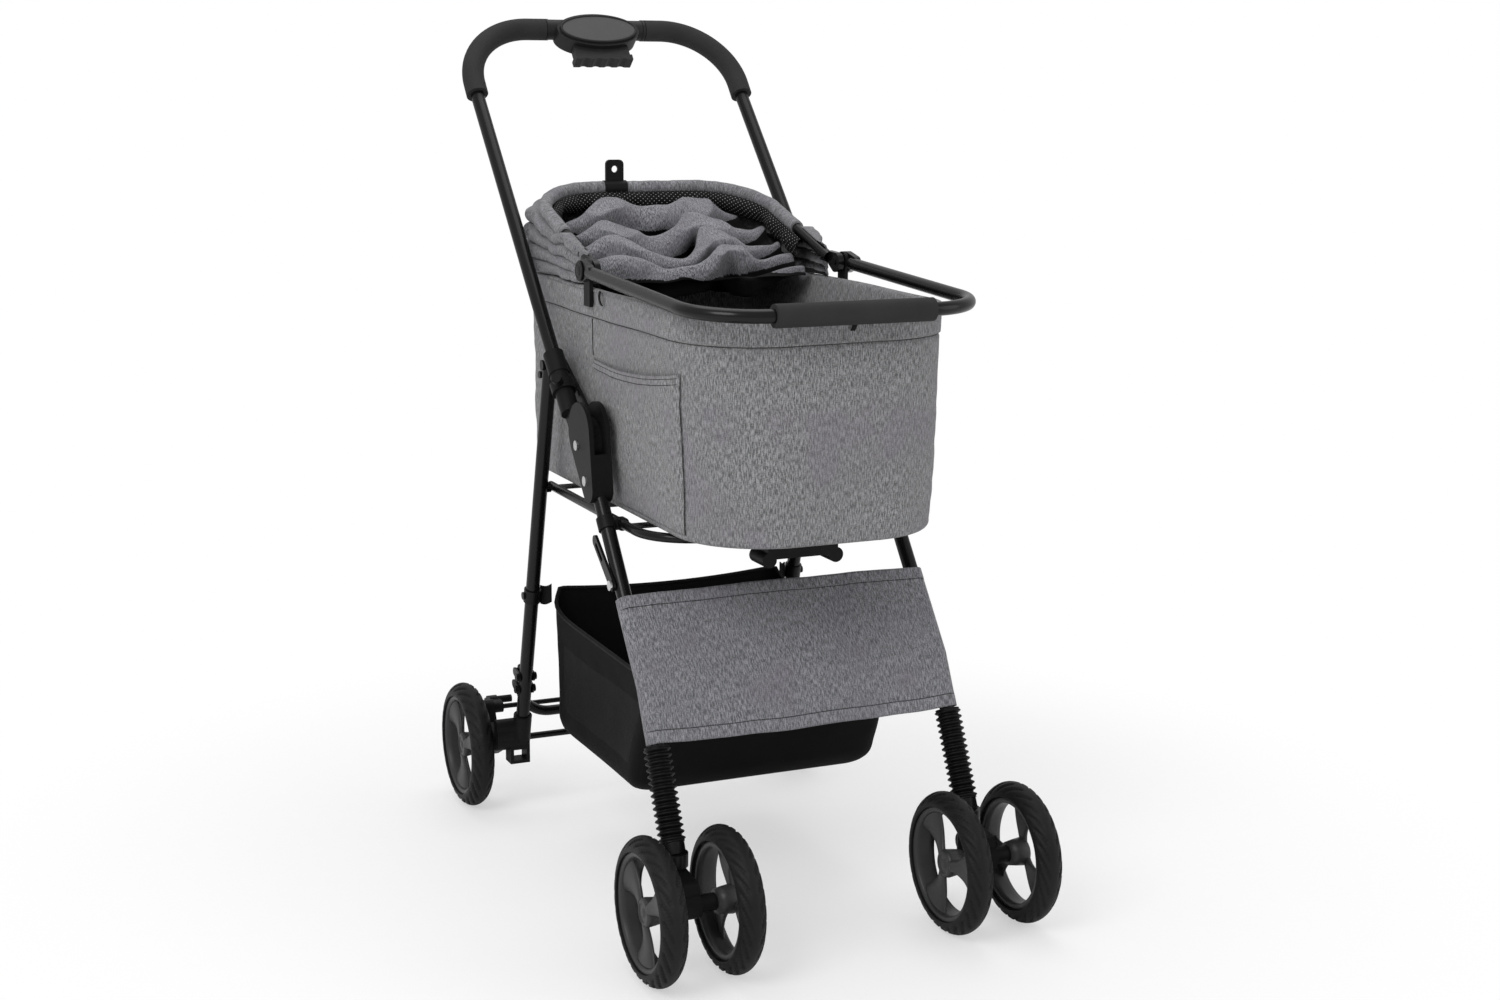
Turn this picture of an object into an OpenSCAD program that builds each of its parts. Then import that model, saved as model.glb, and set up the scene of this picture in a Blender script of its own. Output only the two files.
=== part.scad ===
// Pet stroller: folding steel frame, detachable fabric cabin, storage basket and six wheels.
// Millimetres, +Z up, front of the stroller along -Y, origin on the ground below the middle.

/* [Frame tubes] */
// Distance from the side of the cabin to the centre line of a leg
side_room = 18; // [18:1:24]
// Outer diameter of the legs and the handle tube
leg_tube = 16; // [14:0.5:19]
// Wall thickness of every tube
tube_wall = 1.5; // [1:0.1:2]

/* [Front legs] */
// Fold pivot, distance behind the origin
fold_pivot_y = -28; // [-40:1:-15]
// Fold pivot, height above the ground
fold_pivot_z = 491; // [475:1:510]
// Lean of the upper front leg from vertical
front_lean = 37.5; // [35:0.5:40]
// Height of the bend in the front leg
front_bend_z = 268; // [255:1:280]
// Lean of the sprung lower front leg from vertical
strut_lean = 25.8; // [22:0.2:29]
// Height of the open lower end of the front leg
front_leg_end_z = 190; // [180:1:200]

/* [Rear legs] */
// Rear leg pivot, distance behind the origin
rear_pivot_y = 90; // [80:1:100]
// Rear leg pivot, height above the ground
rear_pivot_z = 562; // [550:1:575]
// Lean of the rear leg from vertical
rear_lean = 14.8; // [12:0.2:17]
// Height of the lower end of the rear leg
rear_leg_end_z = 95; // [88:1:102]

/* [Wheels] */
// Outer diameter of every wheel
wheel_d = 150; // [140:1:160]
// Width of the tyre
tyre_w = 27; // [22:0.5:30]
// Diameter where the tyre sits on the rim
rim_d = 122; // [112:1:126]
// Radial thickness of the rim band
rim_band = 7; // [5:0.5:9]
// Diameter of the wheel hub
hub_d = 30; // [24:1:34]
// Number of broad spokes
spoke_count = 3; // [3:1:5]
// Width of one spoke
spoke_w = 30; // [20:1:34]
// Diameter of the axles
axle_d = 8; // [6:0.5:10]
// Rear axle, distance behind the origin
rear_axle_y = 272; // [262:1:285]
// Distance from the centre line of a leg to the middle plane of its rear wheel
wheel_room = 49; // [45:1:56]
// Distance between the middle planes of the two wheels of a caster
twin_spread = 82; // [78:1:90]

/* [Casters] */
// Swivel axis, distance behind the origin
swivel_y = -276; // [-282:1:-270]
// Horizontal distance from the swivel axis to the wheel axle
trail = 36; // [28:1:42]
// Height of the joint between the swivel socket and the yoke
swivel_z = 104; // [98:1:110]
// Diameter of the swivel stud
stud_d = 10; // [8:0.5:12]
// Width of the yoke between the wheels
yoke_w = 18; // [14:1:22]

/* [Suspension] */
// Stroke of the sprung lower leg
strut_travel = 12; // [8:1:16]
// Outer diameter of the rubber bellows
bellows_d = 28; // [26:0.5:30]
// Number of folds in the bellows
bellows_folds = 15; // [10:1:18]
// Depth of one fold
fold_depth = 3.2; // [2:0.2:3.6]

/* [Handle] */
// Distance that each handle tube stands outside the leg below it
handle_out = 3; // [3:0.5:6]
// Lean of the straight handle tubes from vertical
handle_lean = 43.7; // [42:0.1:45]
// Perpendicular distance from the fold pivot to the handle centre line
handle_offset = 12.4; // [10:0.2:14]
// Length of the handle tube from the fold pivot to its upper bend
handle_len = 503; // [490:1:515]
// Lean of the upper handle loop from vertical
loop_lean = 40; // [36:0.5:44]
// Length of the handle loop above that bend
loop_top = 110; // [104:1:116]
// Corner radius of the handle loop
loop_r = 84; // [76:1:90]
// Diameter of the foam grips
grip_d = 26; // [22:0.5:28]
// Width of the hub between the grips
hub_w = 130; // [124:1:136]
// Width of the oval hub housing
oval_w = 106; // [98:1:112]
// Height of the oval hub housing
oval_h = 50; // [46:1:56]
// Width of the squeeze trigger
trigger_w = 74; // [66:1:78]
// Stroke of the squeeze trigger
trigger_travel = 8; // [5:1:9]

/* [Fold latch] */
// Thickness of each cheek of the latch shell
cheek_t = 5; // [4:0.5:6]
// Thickness of the tongue between the cheeks
tongue_t = 13; // [11:0.5:14]
// Radius of the tongue around the fold pivot
tongue_r = 30; // [26:1:31]
// Diameter of the pivot pins
pin_d = 6; // [5:0.5:8]
// Outer diameter of the plastic handle arm
arm_d = 21; // [19:0.5:22]
// Stroke of the latch slider along the arm
slider_travel = 10; // [6:1:12]
// Length of the latch slider
slider_len = 13; // [10:1:16]

/* [Cabin] */
// Height of the underside of the cabin
cabin_z = 421.5; // [418:0.5:430]
// Height of the top rim of the cabin
cabin_top = 655; // [640:1:660]
// Width of the cabin at the rim
cabin_w = 300; // [280:1:302]
// Width of the cabin at the floor
cabin_floor_w = 282; // [260:1:290]
// Front wall of the cabin, distance in front of the origin
cabin_front = 297; // [280:1:305]
// Rear wall of the cabin, distance behind the origin
cabin_rear = 252; // [240:1:256]
// Radius of the front corners of the cabin
cabin_front_r = 95; // [70:1:105]
// Radius of the rear corners of the cabin
cabin_rear_r = 50; // [30:1:70]
// Thickness of the padded fabric wall
fabric_t = 3; // [2:0.5:4]
// Thickness of the stiff floor board
board_t = 4; // [3:0.5:6]
// Thickness of the floor cushion
pad_t = 24; // [15:1:32]

/* [Bumper bar and canopy] */
// Pivot of the bumper bar and canopy, distance behind the origin
knuckle_y = 8; // [0:1:20]
// Pivot of the bumper bar and canopy, height above the ground
knuckle_z = 673; // [671:1:680]
// Diameter of the bumper bar
bar_d = 14; // [12:0.5:14]
// Reach of the bumper bar from its pivot
bar_reach = 330; // [325:1:355]
// Corner radius of the bumper bar
bar_r = 70; // [60:1:85]
// Downward slope of the bumper bar
bar_slope = 2.8; // [0:0.1:4]
// Diameter of the rubber sleeve on the bar
sleeve_d = 23.5; // [22:0.5:28]
// Diameter of the canopy hoop
hoop_d = 12; // [10:0.5:12]
// Reach of the canopy hoop from its pivot
hoop_reach = 244; // [235:1:250]
// Corner radius of the canopy hoop
hoop_r = 80; // [60:1:90]
// Rearward rise of the stowed canopy hoop
hoop_rise = 17.5; // [15:0.5:20]
// Hole in the hanging tab
tab_hole_d = 8; // [5:0.5:10]

/* [Seat rail and basket] */
// Diameter of the seat rail
rail_d = 10; // [8:0.5:12]
// Corner radius of the seat rail
rail_r = 60; // [45:1:75]
// Front end of the seat rail, distance in front of the origin
rail_front = 190; // [180:1:200]
// Distance between the cross straps of the seat rail
strap_step = 115; // [108:1:118]
// Width of the foot clip under the front of the seat rail
clip_w = 92; // [70:1:120]
// Depth of the foot clip below the top of the rail
clip_deep = 28; // [22:1:32]
// Diameter of the cross tubes
cross_d = 12; // [10:0.5:13]
// Height of the front cross tube
front_cross_z = 290; // [284:1:296]
// Height of the top edge of the storage basket at the rear
basket_top = 296; // [285:1:305]
// Height of the floor of the storage basket
basket_floor = 120; // [112:1:125]
// Distance from the centre line of a leg to the side of the basket
basket_room = 20; // [18:1:30]
// Front edge of the basket floor, distance in front of the origin
basket_front = 104; // [95:1:125]
// Rear edge of the basket floor, distance behind the origin
basket_rear = 150; // [140:1:158]
// Front panel, height of its lower hem
panel_low_z = 215; // [213:1:225]
// Front panel, height of its upper hem
panel_high_z = 345; // [335:1:348]
// Thickness of the front panel
panel_t = 2; // [1.5:0.25:2.5]

/* [Rear axle and brake] */
// Diameter of the brake rod
rod_d = 6; // [5:0.5:8]
// Brake rod, distance behind the rear axle
rod_back = 14; // [10:1:20]
// Brake rod, height above the rear axle
rod_up = 38; // [34:1:42]
// Thickness of the wheel housing plate
housing_t = 20; // [16:1:22]

/* [Fold hook] */
// Length of the fold hook between its centres
hook_len = 62; // [50:1:70]
// Width of the fold hook
hook_w = 12; // [10:1:14]
// Thickness of the fold hook
hook_t = 3; // [2:0.5:4]
// Height of the fold hook pivot
hook_z = 360; // [358:1:370]

/* [Hidden] */
$fn = 64;

// Clearances
run_gap = 0.1;      // added to a bore that turns or slides on its shaft
seat_gap = 0.3;     // between parts that pass or rest without a fit
fit_gap = 0.1;      // added to a bore that is fixed on its tube

// Colours
black_paint = [0.07, 0.07, 0.075];
black_plastic = [0.11, 0.11, 0.115];
foam_grey = [0.2, 0.2, 0.205];
heather_grey = [0.5, 0.5, 0.52];
mesh_black = [0.04, 0.04, 0.045];
steel = [0.7, 0.7, 0.72];
rim_grey = [0.25, 0.25, 0.26];

// Points in the side plane, as [y, z], and unit vectors for a lean from vertical
function lean_dir(a) = [sin(a), cos(a)];
leg_x = cabin_w / 2 + side_room;
handle_x = leg_x + handle_out;
rear_track = 2 * (leg_x + wheel_room);
basket_w = 2 * (leg_x - basket_room);
wheel_r = wheel_d / 2;
fold_pivot = [fold_pivot_y, fold_pivot_z];
rear_pivot = [rear_pivot_y, rear_pivot_z];
knuckle = [knuckle_y, knuckle_z];
rear_axle_at = [rear_axle_y, wheel_r];
brake_at = rear_axle_at + [rod_back, rod_up];
front_dir = -lean_dir(front_lean);
strut_dir = -lean_dir(strut_lean);
rear_dir = [sin(rear_lean), -cos(rear_lean)];
handle_dir = lean_dir(handle_lean);
handle_back = [cos(handle_lean), -sin(handle_lean)];
handle_foot = fold_pivot + handle_offset * handle_back;

// A point on a leg's centre line at a given height
function front_at(z) = fold_pivot + front_dir * (fold_pivot_z - z) / cos(front_lean);
front_bend = front_at(front_bend_z);
function strut_at(z) = front_bend + strut_dir * (front_bend_z - z) / cos(strut_lean);
function rear_at(z) = rear_pivot + rear_dir * (rear_pivot_z - z) / cos(rear_lean);
function handle_at(r) = handle_foot + handle_dir * r;

// Distances along the legs
leg_socket = tongue_r + 1;
leg_rivet = fold_pivot + front_dir * (leg_socket + 12);
upper_len = (fold_pivot_z - front_bend_z) / cos(front_lean);
lower_len = (front_bend_z - front_leg_end_z) / cos(strut_lean);
rear_leg_len = (rear_pivot_z - rear_leg_end_z) / cos(rear_lean);

// Suspension, measured along the sprung leg from the bend
cup_z = swivel_z + 21;
cup_at = (front_bend_z - cup_z) / cos(strut_lean);
bellows_top = (front_bend_z - panel_low_z) / cos(strut_lean) + 2.2;
strut_d = leg_tube - 2 * tube_wall - run_gap;
strut_top = lower_len - 45;
swivel_cup_d = 26;

// Latch, measured along the handle from the fold pivot
shell_in = leg_x - cheek_t - tongue_t / 2 - seat_gap;
shell_out = leg_x + cheek_t + tongue_t / 2 + seat_gap;
arm_start = 50;
tube_start = 62;
slider_start = 78;
collar_start = slider_start + slider_len + slider_travel + 1;
collar_len = 28;
plate_t = 3;
stop_z = rear_pivot_z - 16;
stop_d = 8;
stop_at = rear_at(stop_z) + [cos(rear_lean), sin(rear_lean)] * (leg_tube + stop_d + 0.2) / 2;

// Handle loop
kink_at = handle_at(handle_len);
grip_from = leg_tube / 2 + 1;
hub_at = kink_at + lean_dir(loop_lean) * loop_top;

// Rail and cabin
rail_x = leg_x - leg_tube / 2 - 2.5 - rail_d / 2;
rail_z = cabin_z - 0.5 - rail_d / 2;
rail_rear = rear_at(rail_z)[0] + 10;
cross_at = front_at(front_cross_z);
rear_cross_back = (leg_tube + cross_d) / 2 + 0.1;
rear_cross_z = 182;
basket_bracket_z = basket_top - 14;
hook_at = front_at(hook_z);
rear_cross_low = 118;
rear_cross_r = 40;

// Bumper bar and canopy hoop, measured outwards from the cabin wall
lug_gap = 0.4;
knuckle_t = 4;
knuckle_r = 12;
knuckle_foot = 20;
lug_t = 6.6;
bar_x = cabin_w / 2 + seat_gap + knuckle_t + lug_gap + 0.8;
bar_w = 2 * bar_x;
sleeve_len = bar_w - 2 * bar_r;
hoop_out = bar_x - bar_d / 2 - lug_gap;
hoop_x = hoop_out - hoop_d / 2;

// ---------- shared shapes ----------

// Both sides, mirrored in the middle plane
module both() {
  children();
  mirror([1, 0, 0]) children();
}

// One side: s is -1 for left and 1 for right
module side(s) {
  if (s < 0) mirror([1, 0, 0]) children();
  else children();
}

// A flat outline drawn in Y and Z, thickened along X from x0 to x1
module side_plate(x0, x1) {
  translate([x0, 0, 0]) rotate([90, 0, 90]) linear_extrude(height = x1 - x0) children();
}

// A cylinder along X from x0 to x1 at a point of the side plane
module cross_pin(p, d, x0, x1) {
  translate([x0, p[0], p[1]]) rotate([0, 90, 0]) cylinder(d = d, h = x1 - x0);
}

// Two circles joined by their outer tangents
module link(p, rp, q, rq) {
  t = atan2(q[1] - p[1], q[0] - p[0]);
  b = acos((rp - rq) / norm(q - p));
  translate(p) circle(r = rp);
  translate(q) circle(r = rq);
  polygon([
    p + rp * [cos(t + b), sin(t + b)],
    p + rp * [cos(t - b), sin(t - b)],
    q + rq * [cos(t - b), sin(t - b)],
    q + rq * [cos(t + b), sin(t + b)]
  ]);
}

// Local frame whose +Y axis leans by a from vertical, at x and a point of the side plane
module leaning(x, p, a) {
  translate([x, p[0], p[1]]) rotate([90 - a, 0, 0]) children();
}

// A round bar along local +Y
module bar_y(d, y0, y1) {
  translate([0, y0, 0]) rotate([-90, 0, 0]) cylinder(d = d, h = y1 - y0);
}

module ring(d, w) {
  difference() {
    circle(d = d);
    circle(d = d - 2 * w);
  }
}

// A quarter bend from local +Y to -X, starting at the origin
module quarter(r, d) {
  translate([-r, 0, 0]) rotate_extrude(angle = 90) translate([r, 0]) circle(d = d);
}

// A solid U in the local plane: sides at +half and -half from start, closed at reach
module u_rod(half, start, reach, r, d) {
  both() {
    translate([half, 0, 0]) bar_y(d, start, reach - r);
    translate([half, reach - r, 0]) quarter(r, d);
  }
  translate([r - half, reach, 0]) rotate([0, 90, 0]) cylinder(d = d, h = 2 * (half - r));
}

module u_tube(half, start, reach, r, d) {
  difference() {
    u_rod(half, start, reach, r, d);
    u_rod(half, start - 1, reach, r, d - 2 * tube_wall);
  }
}

// ---------- front frame ----------

module front_leg(s) {
  module runs(d, over, short) {
    leaning(leg_x, fold_pivot, 180 + front_lean) bar_y(d, leg_socket - over, upper_len - short);
    leaning(leg_x, front_bend, 180 + strut_lean) bar_y(d, short, lower_len + over);
  }
  color(black_paint) side(s)
    difference() {
      union() {
        runs(leg_tube, 0, 0);
        translate([leg_x, front_bend[0], front_bend[1]]) sphere(d = leg_tube + 0.2);
      }
      runs(leg_tube - 2 * tube_wall, 1, 4);
      cross_pin(leg_rivet, pin_d, shell_in, shell_out);
    }
}

module latch_shell(s) {
  socket_end = fold_pivot + front_dir * (leg_socket + 22);
  crown = fold_pivot + [-6, 15];
  color(black_plastic) side(s)
    difference() {
      side_plate(shell_in, shell_out) link(crown, 32, socket_end, 15);
      difference() {
        side_plate(shell_in + cheek_t, shell_out - cheek_t)
          union() {
            translate(fold_pivot) circle(r = tongue_r + 0.5);
            translate(crown) circle(r = 40);
            translate(fold_pivot + [0, -4]) square([60, 60]);
          }
        side_plate(shell_in, shell_out)
          difference() {
            translate(socket_end) circle(r = 60);
            translate(fold_pivot) circle(r = tongue_r + 0.5);
            translate(fold_pivot + [-80, -6]) square([160, 160]);
          }
      }
      leaning(leg_x, fold_pivot + front_dir * leg_socket, 180 + front_lean)
        bar_y(leg_tube + fit_gap, 0, 100);
      cross_pin(fold_pivot, pin_d, shell_in - 1, shell_out + 1);
      cross_pin(leg_rivet, pin_d, shell_in - 1, shell_out + 1);
    }
}

module rear_pivot_plates() {
  plate_in = shell_in - plate_t;
  color(black_paint) both()
    difference() {
      union() {
        side_plate(plate_in, shell_in) union() {
          link(fold_pivot, 16, rear_pivot, 11);
          link(rear_pivot, 11, stop_at, 8);
        }
        cross_pin(rear_pivot, 2 * pin_d, shell_in, leg_x - leg_tube / 2 - 0.1);
        cross_pin(rear_pivot, pin_d, shell_in, leg_x + leg_tube / 2 + 0.3);
        cross_pin(rear_pivot, 2 * pin_d, leg_x + leg_tube / 2 + 0.3, leg_x + leg_tube / 2 + 2.5);
        cross_pin(stop_at, stop_d, shell_in, leg_x + leg_tube / 2);
      }
      cross_pin(fold_pivot, pin_d, plate_in - 1, shell_in + 1);
    }
}

module frame_rivets() {
  head = 1.8 * pin_d;
  color(steel) {
    both() {
      cross_pin(fold_pivot, pin_d, shell_in - plate_t, shell_out);
      cross_pin(fold_pivot, head, shell_out, shell_out + 2);
      cross_pin(leg_rivet, pin_d, shell_in, shell_out);
      cross_pin(leg_rivet, head, shell_out, shell_out + 2);
    }
    side(-1) {
      cross_pin(hook_at, pin_d, leg_x + leg_tube / 2, leg_x + leg_tube / 2 + hook_t + 1);
      cross_pin(hook_at, head, leg_x + leg_tube / 2 + hook_t + 1, leg_x + leg_tube / 2 + hook_t + 3);
    }
  }
}

module seat_rail() {
  strap_w = 20;
  strap_front = rail_r - rail_front + strap_w / 2;
  color(black_paint) {
    leaning(0, [0, rail_z], -90) u_tube(rail_x, -rail_rear, rail_front, rail_r, rail_d);
    for (k = [0 : 2])
      translate([-rail_x, strap_front + k * strap_step - strap_w / 2, rail_z + rail_d / 2 - 3])
        cube([2 * rail_x, strap_w, 2]);
    both() cross_pin(rear_at(rail_z), rail_d + 2, rail_x + rail_d / 2 - 1, leg_x - leg_tube / 2 - seat_gap);
  }
}

module rail_brackets() {
  clamp_at = front_at(rail_z);
  clamp_w = 14;
  foot_clip();
  color(black_plastic) both()
    difference() {
      union() {
        leaning(leg_x, clamp_at, front_lean) bar_y(leg_tube + 4, -clamp_w / 2, clamp_w / 2);
        leaning(rail_x, [clamp_at[0], rail_z], 90) bar_y(rail_d + 5, -clamp_w / 2, clamp_w / 2);
        translate([rail_x, clamp_at[0] - clamp_w / 2, rail_z - 6]) cube([leg_x - rail_x, clamp_w, 12]);
      }
      leaning(leg_x, clamp_at, front_lean) bar_y(leg_tube + fit_gap, -30, 30);
      leaning(rail_x, [clamp_at[0], rail_z], 90) bar_y(rail_d + fit_gap, -30, 30);
      translate([rail_x - rail_d, clamp_at[0] - 20, cabin_z - seat_gap]) cube([2 * rail_d, 40, 40]);
    }
}

// A flat foot with rounded ends, clipped under the front run of the seat rail
module foot_clip() {
  ahead = 24;
  behind = 10;
  toe_r = 8;
  color(black_plastic)
    difference() {
      translate([0, -rail_front - ahead, rail_z]) rotate([-90, 0, 0])
        linear_extrude(height = ahead + behind) {
          translate([-clip_w / 2 + 6, seat_gap - rail_d / 2]) square([clip_w - 12, clip_deep]);
          for (k = [-1, 1])
            translate([k * (clip_w / 2 - toe_r), clip_deep - toe_r / 2]) circle(r = toe_r);
        }
      leaning(0, [0, rail_z], -90) u_rod(rail_x, 0, rail_front, rail_r, rail_d + fit_gap);
    }
}

module front_cross_tube() {
  end_x = leg_x - leg_tube / 2 - 0.1;
  color(black_paint)
    translate([-end_x, cross_at[0], cross_at[1]]) rotate([0, 90, 0])
      linear_extrude(height = 2 * end_x) ring(cross_d, tube_wall);
}

// Side line of the front panel, o in front of the legs' centre lines
function panel_line(o) =
  let(
    n1 = [-cos(front_lean), sin(front_lean)],
    n2 = [-cos(strut_lean), sin(strut_lean)],
    mitre = (n1 + n2) / (1 + n1 * n2)
  )
  [front_at(panel_high_z) + o * n1, front_bend + o * mitre, strut_at(panel_low_z) + o * n2];

// A flat sheet in front of the legs, folded back over their outsides
module front_panel() {
  near = leg_tube / 2 + 0.4;
  far = near + panel_t;
  function back(o) = [for (i = [2 : -1 : 0]) panel_line(o)[i]];
  color(heather_grey) {
    side_plate(-leg_x - far, leg_x + far) polygon(concat(panel_line(near), back(far)));
    both() side_plate(leg_x + near, leg_x + far) polygon(concat(panel_line(0), back(far)));
  }
}

// Side outline of the basket, drawn inside the outer faces by t
module basket_outline(t, open) {
  front_top = cross_at[0] + cross_d / 2 + seat_gap;
  rear_top = rear_at(basket_top)[0];
  polygon([
    [front_top + t, front_cross_z + open],
    [t - basket_front, basket_floor + t],
    [basket_rear - t, basket_floor + t],
    [rear_top - t, basket_top + open]
  ]);
}

module storage_basket() {
  t = 2.5;
  color(mesh_black)
    difference() {
      side_plate(-basket_w / 2, basket_w / 2) basket_outline(0, 0);
      side_plate(-basket_w / 2 + t, basket_w / 2 - t) basket_outline(t, 30);
    }
}

module fold_hook() {
  x0 = leg_x + leg_tube / 2 + 0.4;
  tip = hook_at + hook_len * [cos(37), sin(37)];
  along = (tip - hook_at) / hook_len;
  color(black_paint) side(-1)
    difference() {
      side_plate(x0, x0 + hook_t) link(hook_at, hook_w / 2, tip, hook_w / 2);
      cross_pin(hook_at, pin_d + run_gap, x0 - 1, x0 + hook_t + 1);
      side_plate(x0 - 1, x0 + hook_t + 1)
        link(hook_at + along * (hook_len - 26), 2.5, hook_at + along * (hook_len - 6), 2.49);
    }
}

// ---------- cabin ----------

// Plan of the cabin at half width w, set in by t
module cabin_plan(w, t) {
  fr = cabin_front_r - t;
  rr = cabin_rear_r - t;
  for (k = [-1, 1]) {
    translate([k * (w - cabin_front_r), -cabin_front + cabin_front_r]) circle(r = fr, $fn = 48);
    translate([k * (w - cabin_rear_r), cabin_rear - cabin_rear_r]) circle(r = rr, $fn = 32);
  }
}

module cabin_solid(t, z0, z1) {
  function half_at(z) = cabin_floor_w / 2
    + (cabin_w - cabin_floor_w) / 2 * (z - cabin_z) / (cabin_top - cabin_z);
  hull() {
    translate([0, 0, z0]) linear_extrude(height = 0.1) cabin_plan(half_at(z0), t);
    translate([0, 0, z1 - 0.1]) linear_extrude(height = 0.1) cabin_plan(half_at(z1), t);
  }
}

module cabin_shell() {
  color(heather_grey)
    difference() {
      cabin_solid(0, cabin_z, cabin_top);
      cabin_solid(fabric_t, cabin_z + fabric_t, cabin_top + 20);
    }
}

module cabin_board() {
  z = cabin_z + fabric_t + seat_gap;
  color(mesh_black) cabin_solid(fabric_t + 2, z, z + board_t);
}

module cabin_cushion() {
  z = cabin_z + fabric_t + board_t + 2 * seat_gap;
  color(mesh_black) cabin_solid(fabric_t + 3, z, z + pad_t);
}

module cabin_knuckles() {
  x0 = cabin_w / 2 + seat_gap;
  color(black_plastic) both() {
    side_plate(x0, x0 + knuckle_t) {
      translate(knuckle) circle(r = knuckle_r);
      translate([knuckle_y - knuckle_r * 0.75, cabin_top - knuckle_foot])
        square([knuckle_r * 1.5, knuckle_z - cabin_top + knuckle_foot]);
    }
    cross_pin(knuckle, pin_d, hoop_out - lug_t - 1, x0 + knuckle_t + lug_gap + lug_t + 0.4);
  }
}

// ---------- bumper bar and canopy ----------

module bumper_bar() {
  x0 = cabin_w / 2 + seat_gap + knuckle_t + lug_gap;
  start = 16;
  color(black_paint) {
    leaning(0, knuckle, -90 - bar_slope) u_tube(bar_w / 2, start, bar_reach, bar_r, bar_d);
    both()
      difference() {
        side_plate(x0, x0 + lug_t + 0.2)
          link(knuckle, 12, knuckle - (start + 4) * lean_dir(90 + bar_slope), bar_d / 2 - 0.2);
        cross_pin(knuckle, pin_d + run_gap, x0 - 1, x0 + lug_t + 2);
      }
  }
}

module bumper_sleeve() {
  color(foam_grey)
    leaning(-sleeve_len / 2, knuckle, -90 - bar_slope) translate([0, bar_reach, 0])
      rotate([0, 90, 0]) linear_extrude(height = sleeve_len)
        ring(sleeve_d, (sleeve_d - bar_d - fit_gap) / 2);
}

module canopy_hoop() {
  start = 16;
  color(black_paint) {
    leaning(0, knuckle, 90 - hoop_rise) u_tube(hoop_x, start, hoop_reach, hoop_r, hoop_d);
    both()
      difference() {
        side_plate(hoop_out - lug_t, hoop_out)
          link(knuckle, 11, knuckle + (start + 4) * lean_dir(90 - hoop_rise), hoop_d / 2 - 0.2);
        cross_pin(knuckle, pin_d + run_gap, hoop_out - lug_t - 1, hoop_out + 1);
      }
  }
}

module canopy_fabric() {
  along = lean_dir(90 - hoop_rise);
  under = [sin(hoop_rise), -cos(hoop_rise)] * (hoop_d / 2 + seat_gap);
  color(heather_grey)
    side_plate(-hoop_x + hoop_d / 2, hoop_x - hoop_d / 2) polygon([
      knuckle + along * 40 + under,
      knuckle + along * (hoop_reach - 14) + under,
      [cabin_rear - 14, cabin_top + 4],
      [cabin_rear - 60, cabin_top - 12],
      knuckle + [50, -30]
    ]);
}

module hanging_tab() {
  tab_x = -34;
  tab_w = 22;
  tab_h = 24;
  clip_d = hoop_d + 6;
  color(black_plastic)
    leaning(tab_x, knuckle, 90 - hoop_rise) translate([0, hoop_reach, 0])
      rotate([-hoop_rise, 0, 0])
        difference() {
          union() {
            rotate([0, 90, 0]) cylinder(d = clip_d, h = tab_w + 6, center = true);
            translate([-tab_w / 2, -2, 0]) cube([tab_w, 4, clip_d / 2 + tab_h - tab_w / 4]);
            translate([-tab_w / 4, -2, 0]) cube([tab_w / 2, 4, clip_d / 2 + tab_h]);
            for (k = [-1, 1])
              translate([k * tab_w / 4, 2, clip_d / 2 + tab_h - tab_w / 4]) rotate([90, 0, 0])
                cylinder(r = tab_w / 4, h = 4);
          }
          rotate([0, 90, 0]) cylinder(d = hoop_d + fit_gap, h = tab_w + 20, center = true);
          translate([0, 10, clip_d / 2 + tab_h - tab_w / 2]) rotate([90, 0, 0])
            cylinder(d = tab_hole_d, h = 20);
        }
}

// ---------- handle ----------

module handle_tube() {
  module tubes(d, over, short) {
    leaning(0, kink_at, loop_lean) u_rod(handle_x, short, loop_top, loop_r, d);
    both() leaning(handle_x, handle_at(0), handle_lean) bar_y(d, tube_start - over, handle_len - short);
  }
  color(black_paint)
    difference() {
      union() {
        tubes(leg_tube, 0, 0);
        both() translate([handle_x, kink_at[0], kink_at[1]]) sphere(d = leg_tube + 0.2);
      }
      tubes(leg_tube - 2 * tube_wall, 1, 6);
    }
}

module grip(s) {
  module sleeve(d, over) {
    translate([handle_x, 0, 0]) bar_y(d, grip_from - over, loop_top - loop_r);
    translate([handle_x, loop_top - loop_r, 0]) quarter(loop_r, d);
    translate([hub_w / 2 - over, loop_top, 0]) rotate([0, 90, 0])
      cylinder(d = d, h = handle_x - loop_r - hub_w / 2 + over);
  }
  color(foam_grey) side(s)
    leaning(0, kink_at, loop_lean)
      difference() {
        sleeve(grip_d, 0);
        sleeve(leg_tube + fit_gap, 1);
      }
}

module handle_arm(s) {
  color(black_plastic) side(s)
    difference() {
      union() {
        side_plate(leg_x - tongue_t / 2, leg_x + tongue_t / 2) union() {
          translate(fold_pivot) circle(r = tongue_r);
          link(fold_pivot, 18, handle_at(arm_start + 4), arm_d / 2 - 1);
        }
        leaning(handle_x, handle_at(0), handle_lean) {
          bar_y(arm_d, arm_start, collar_start);
          bar_y(arm_d + 2, collar_start, collar_start + collar_len);
        }
      }
      leaning(handle_x, handle_at(0), handle_lean)
        bar_y(leg_tube + fit_gap, tube_start, handle_len);
      cross_pin(fold_pivot, pin_d + run_gap, shell_in, shell_out);
    }
}

module latch_slider(s) {
  outer = arm_d + 6;
  color(black_plastic) side(s)
    leaning(handle_x, handle_at(slider_start), handle_lean)
      difference() {
        union() {
          bar_y(outer, 0, slider_len);
          rotate([0, 35, 0]) translate([0, slider_len / 2, 8]) cylinder(d = slider_len - 2, h = 14);
        }
        bar_y(arm_d + 0.4, -1, slider_len + 1);
      }
}

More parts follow.
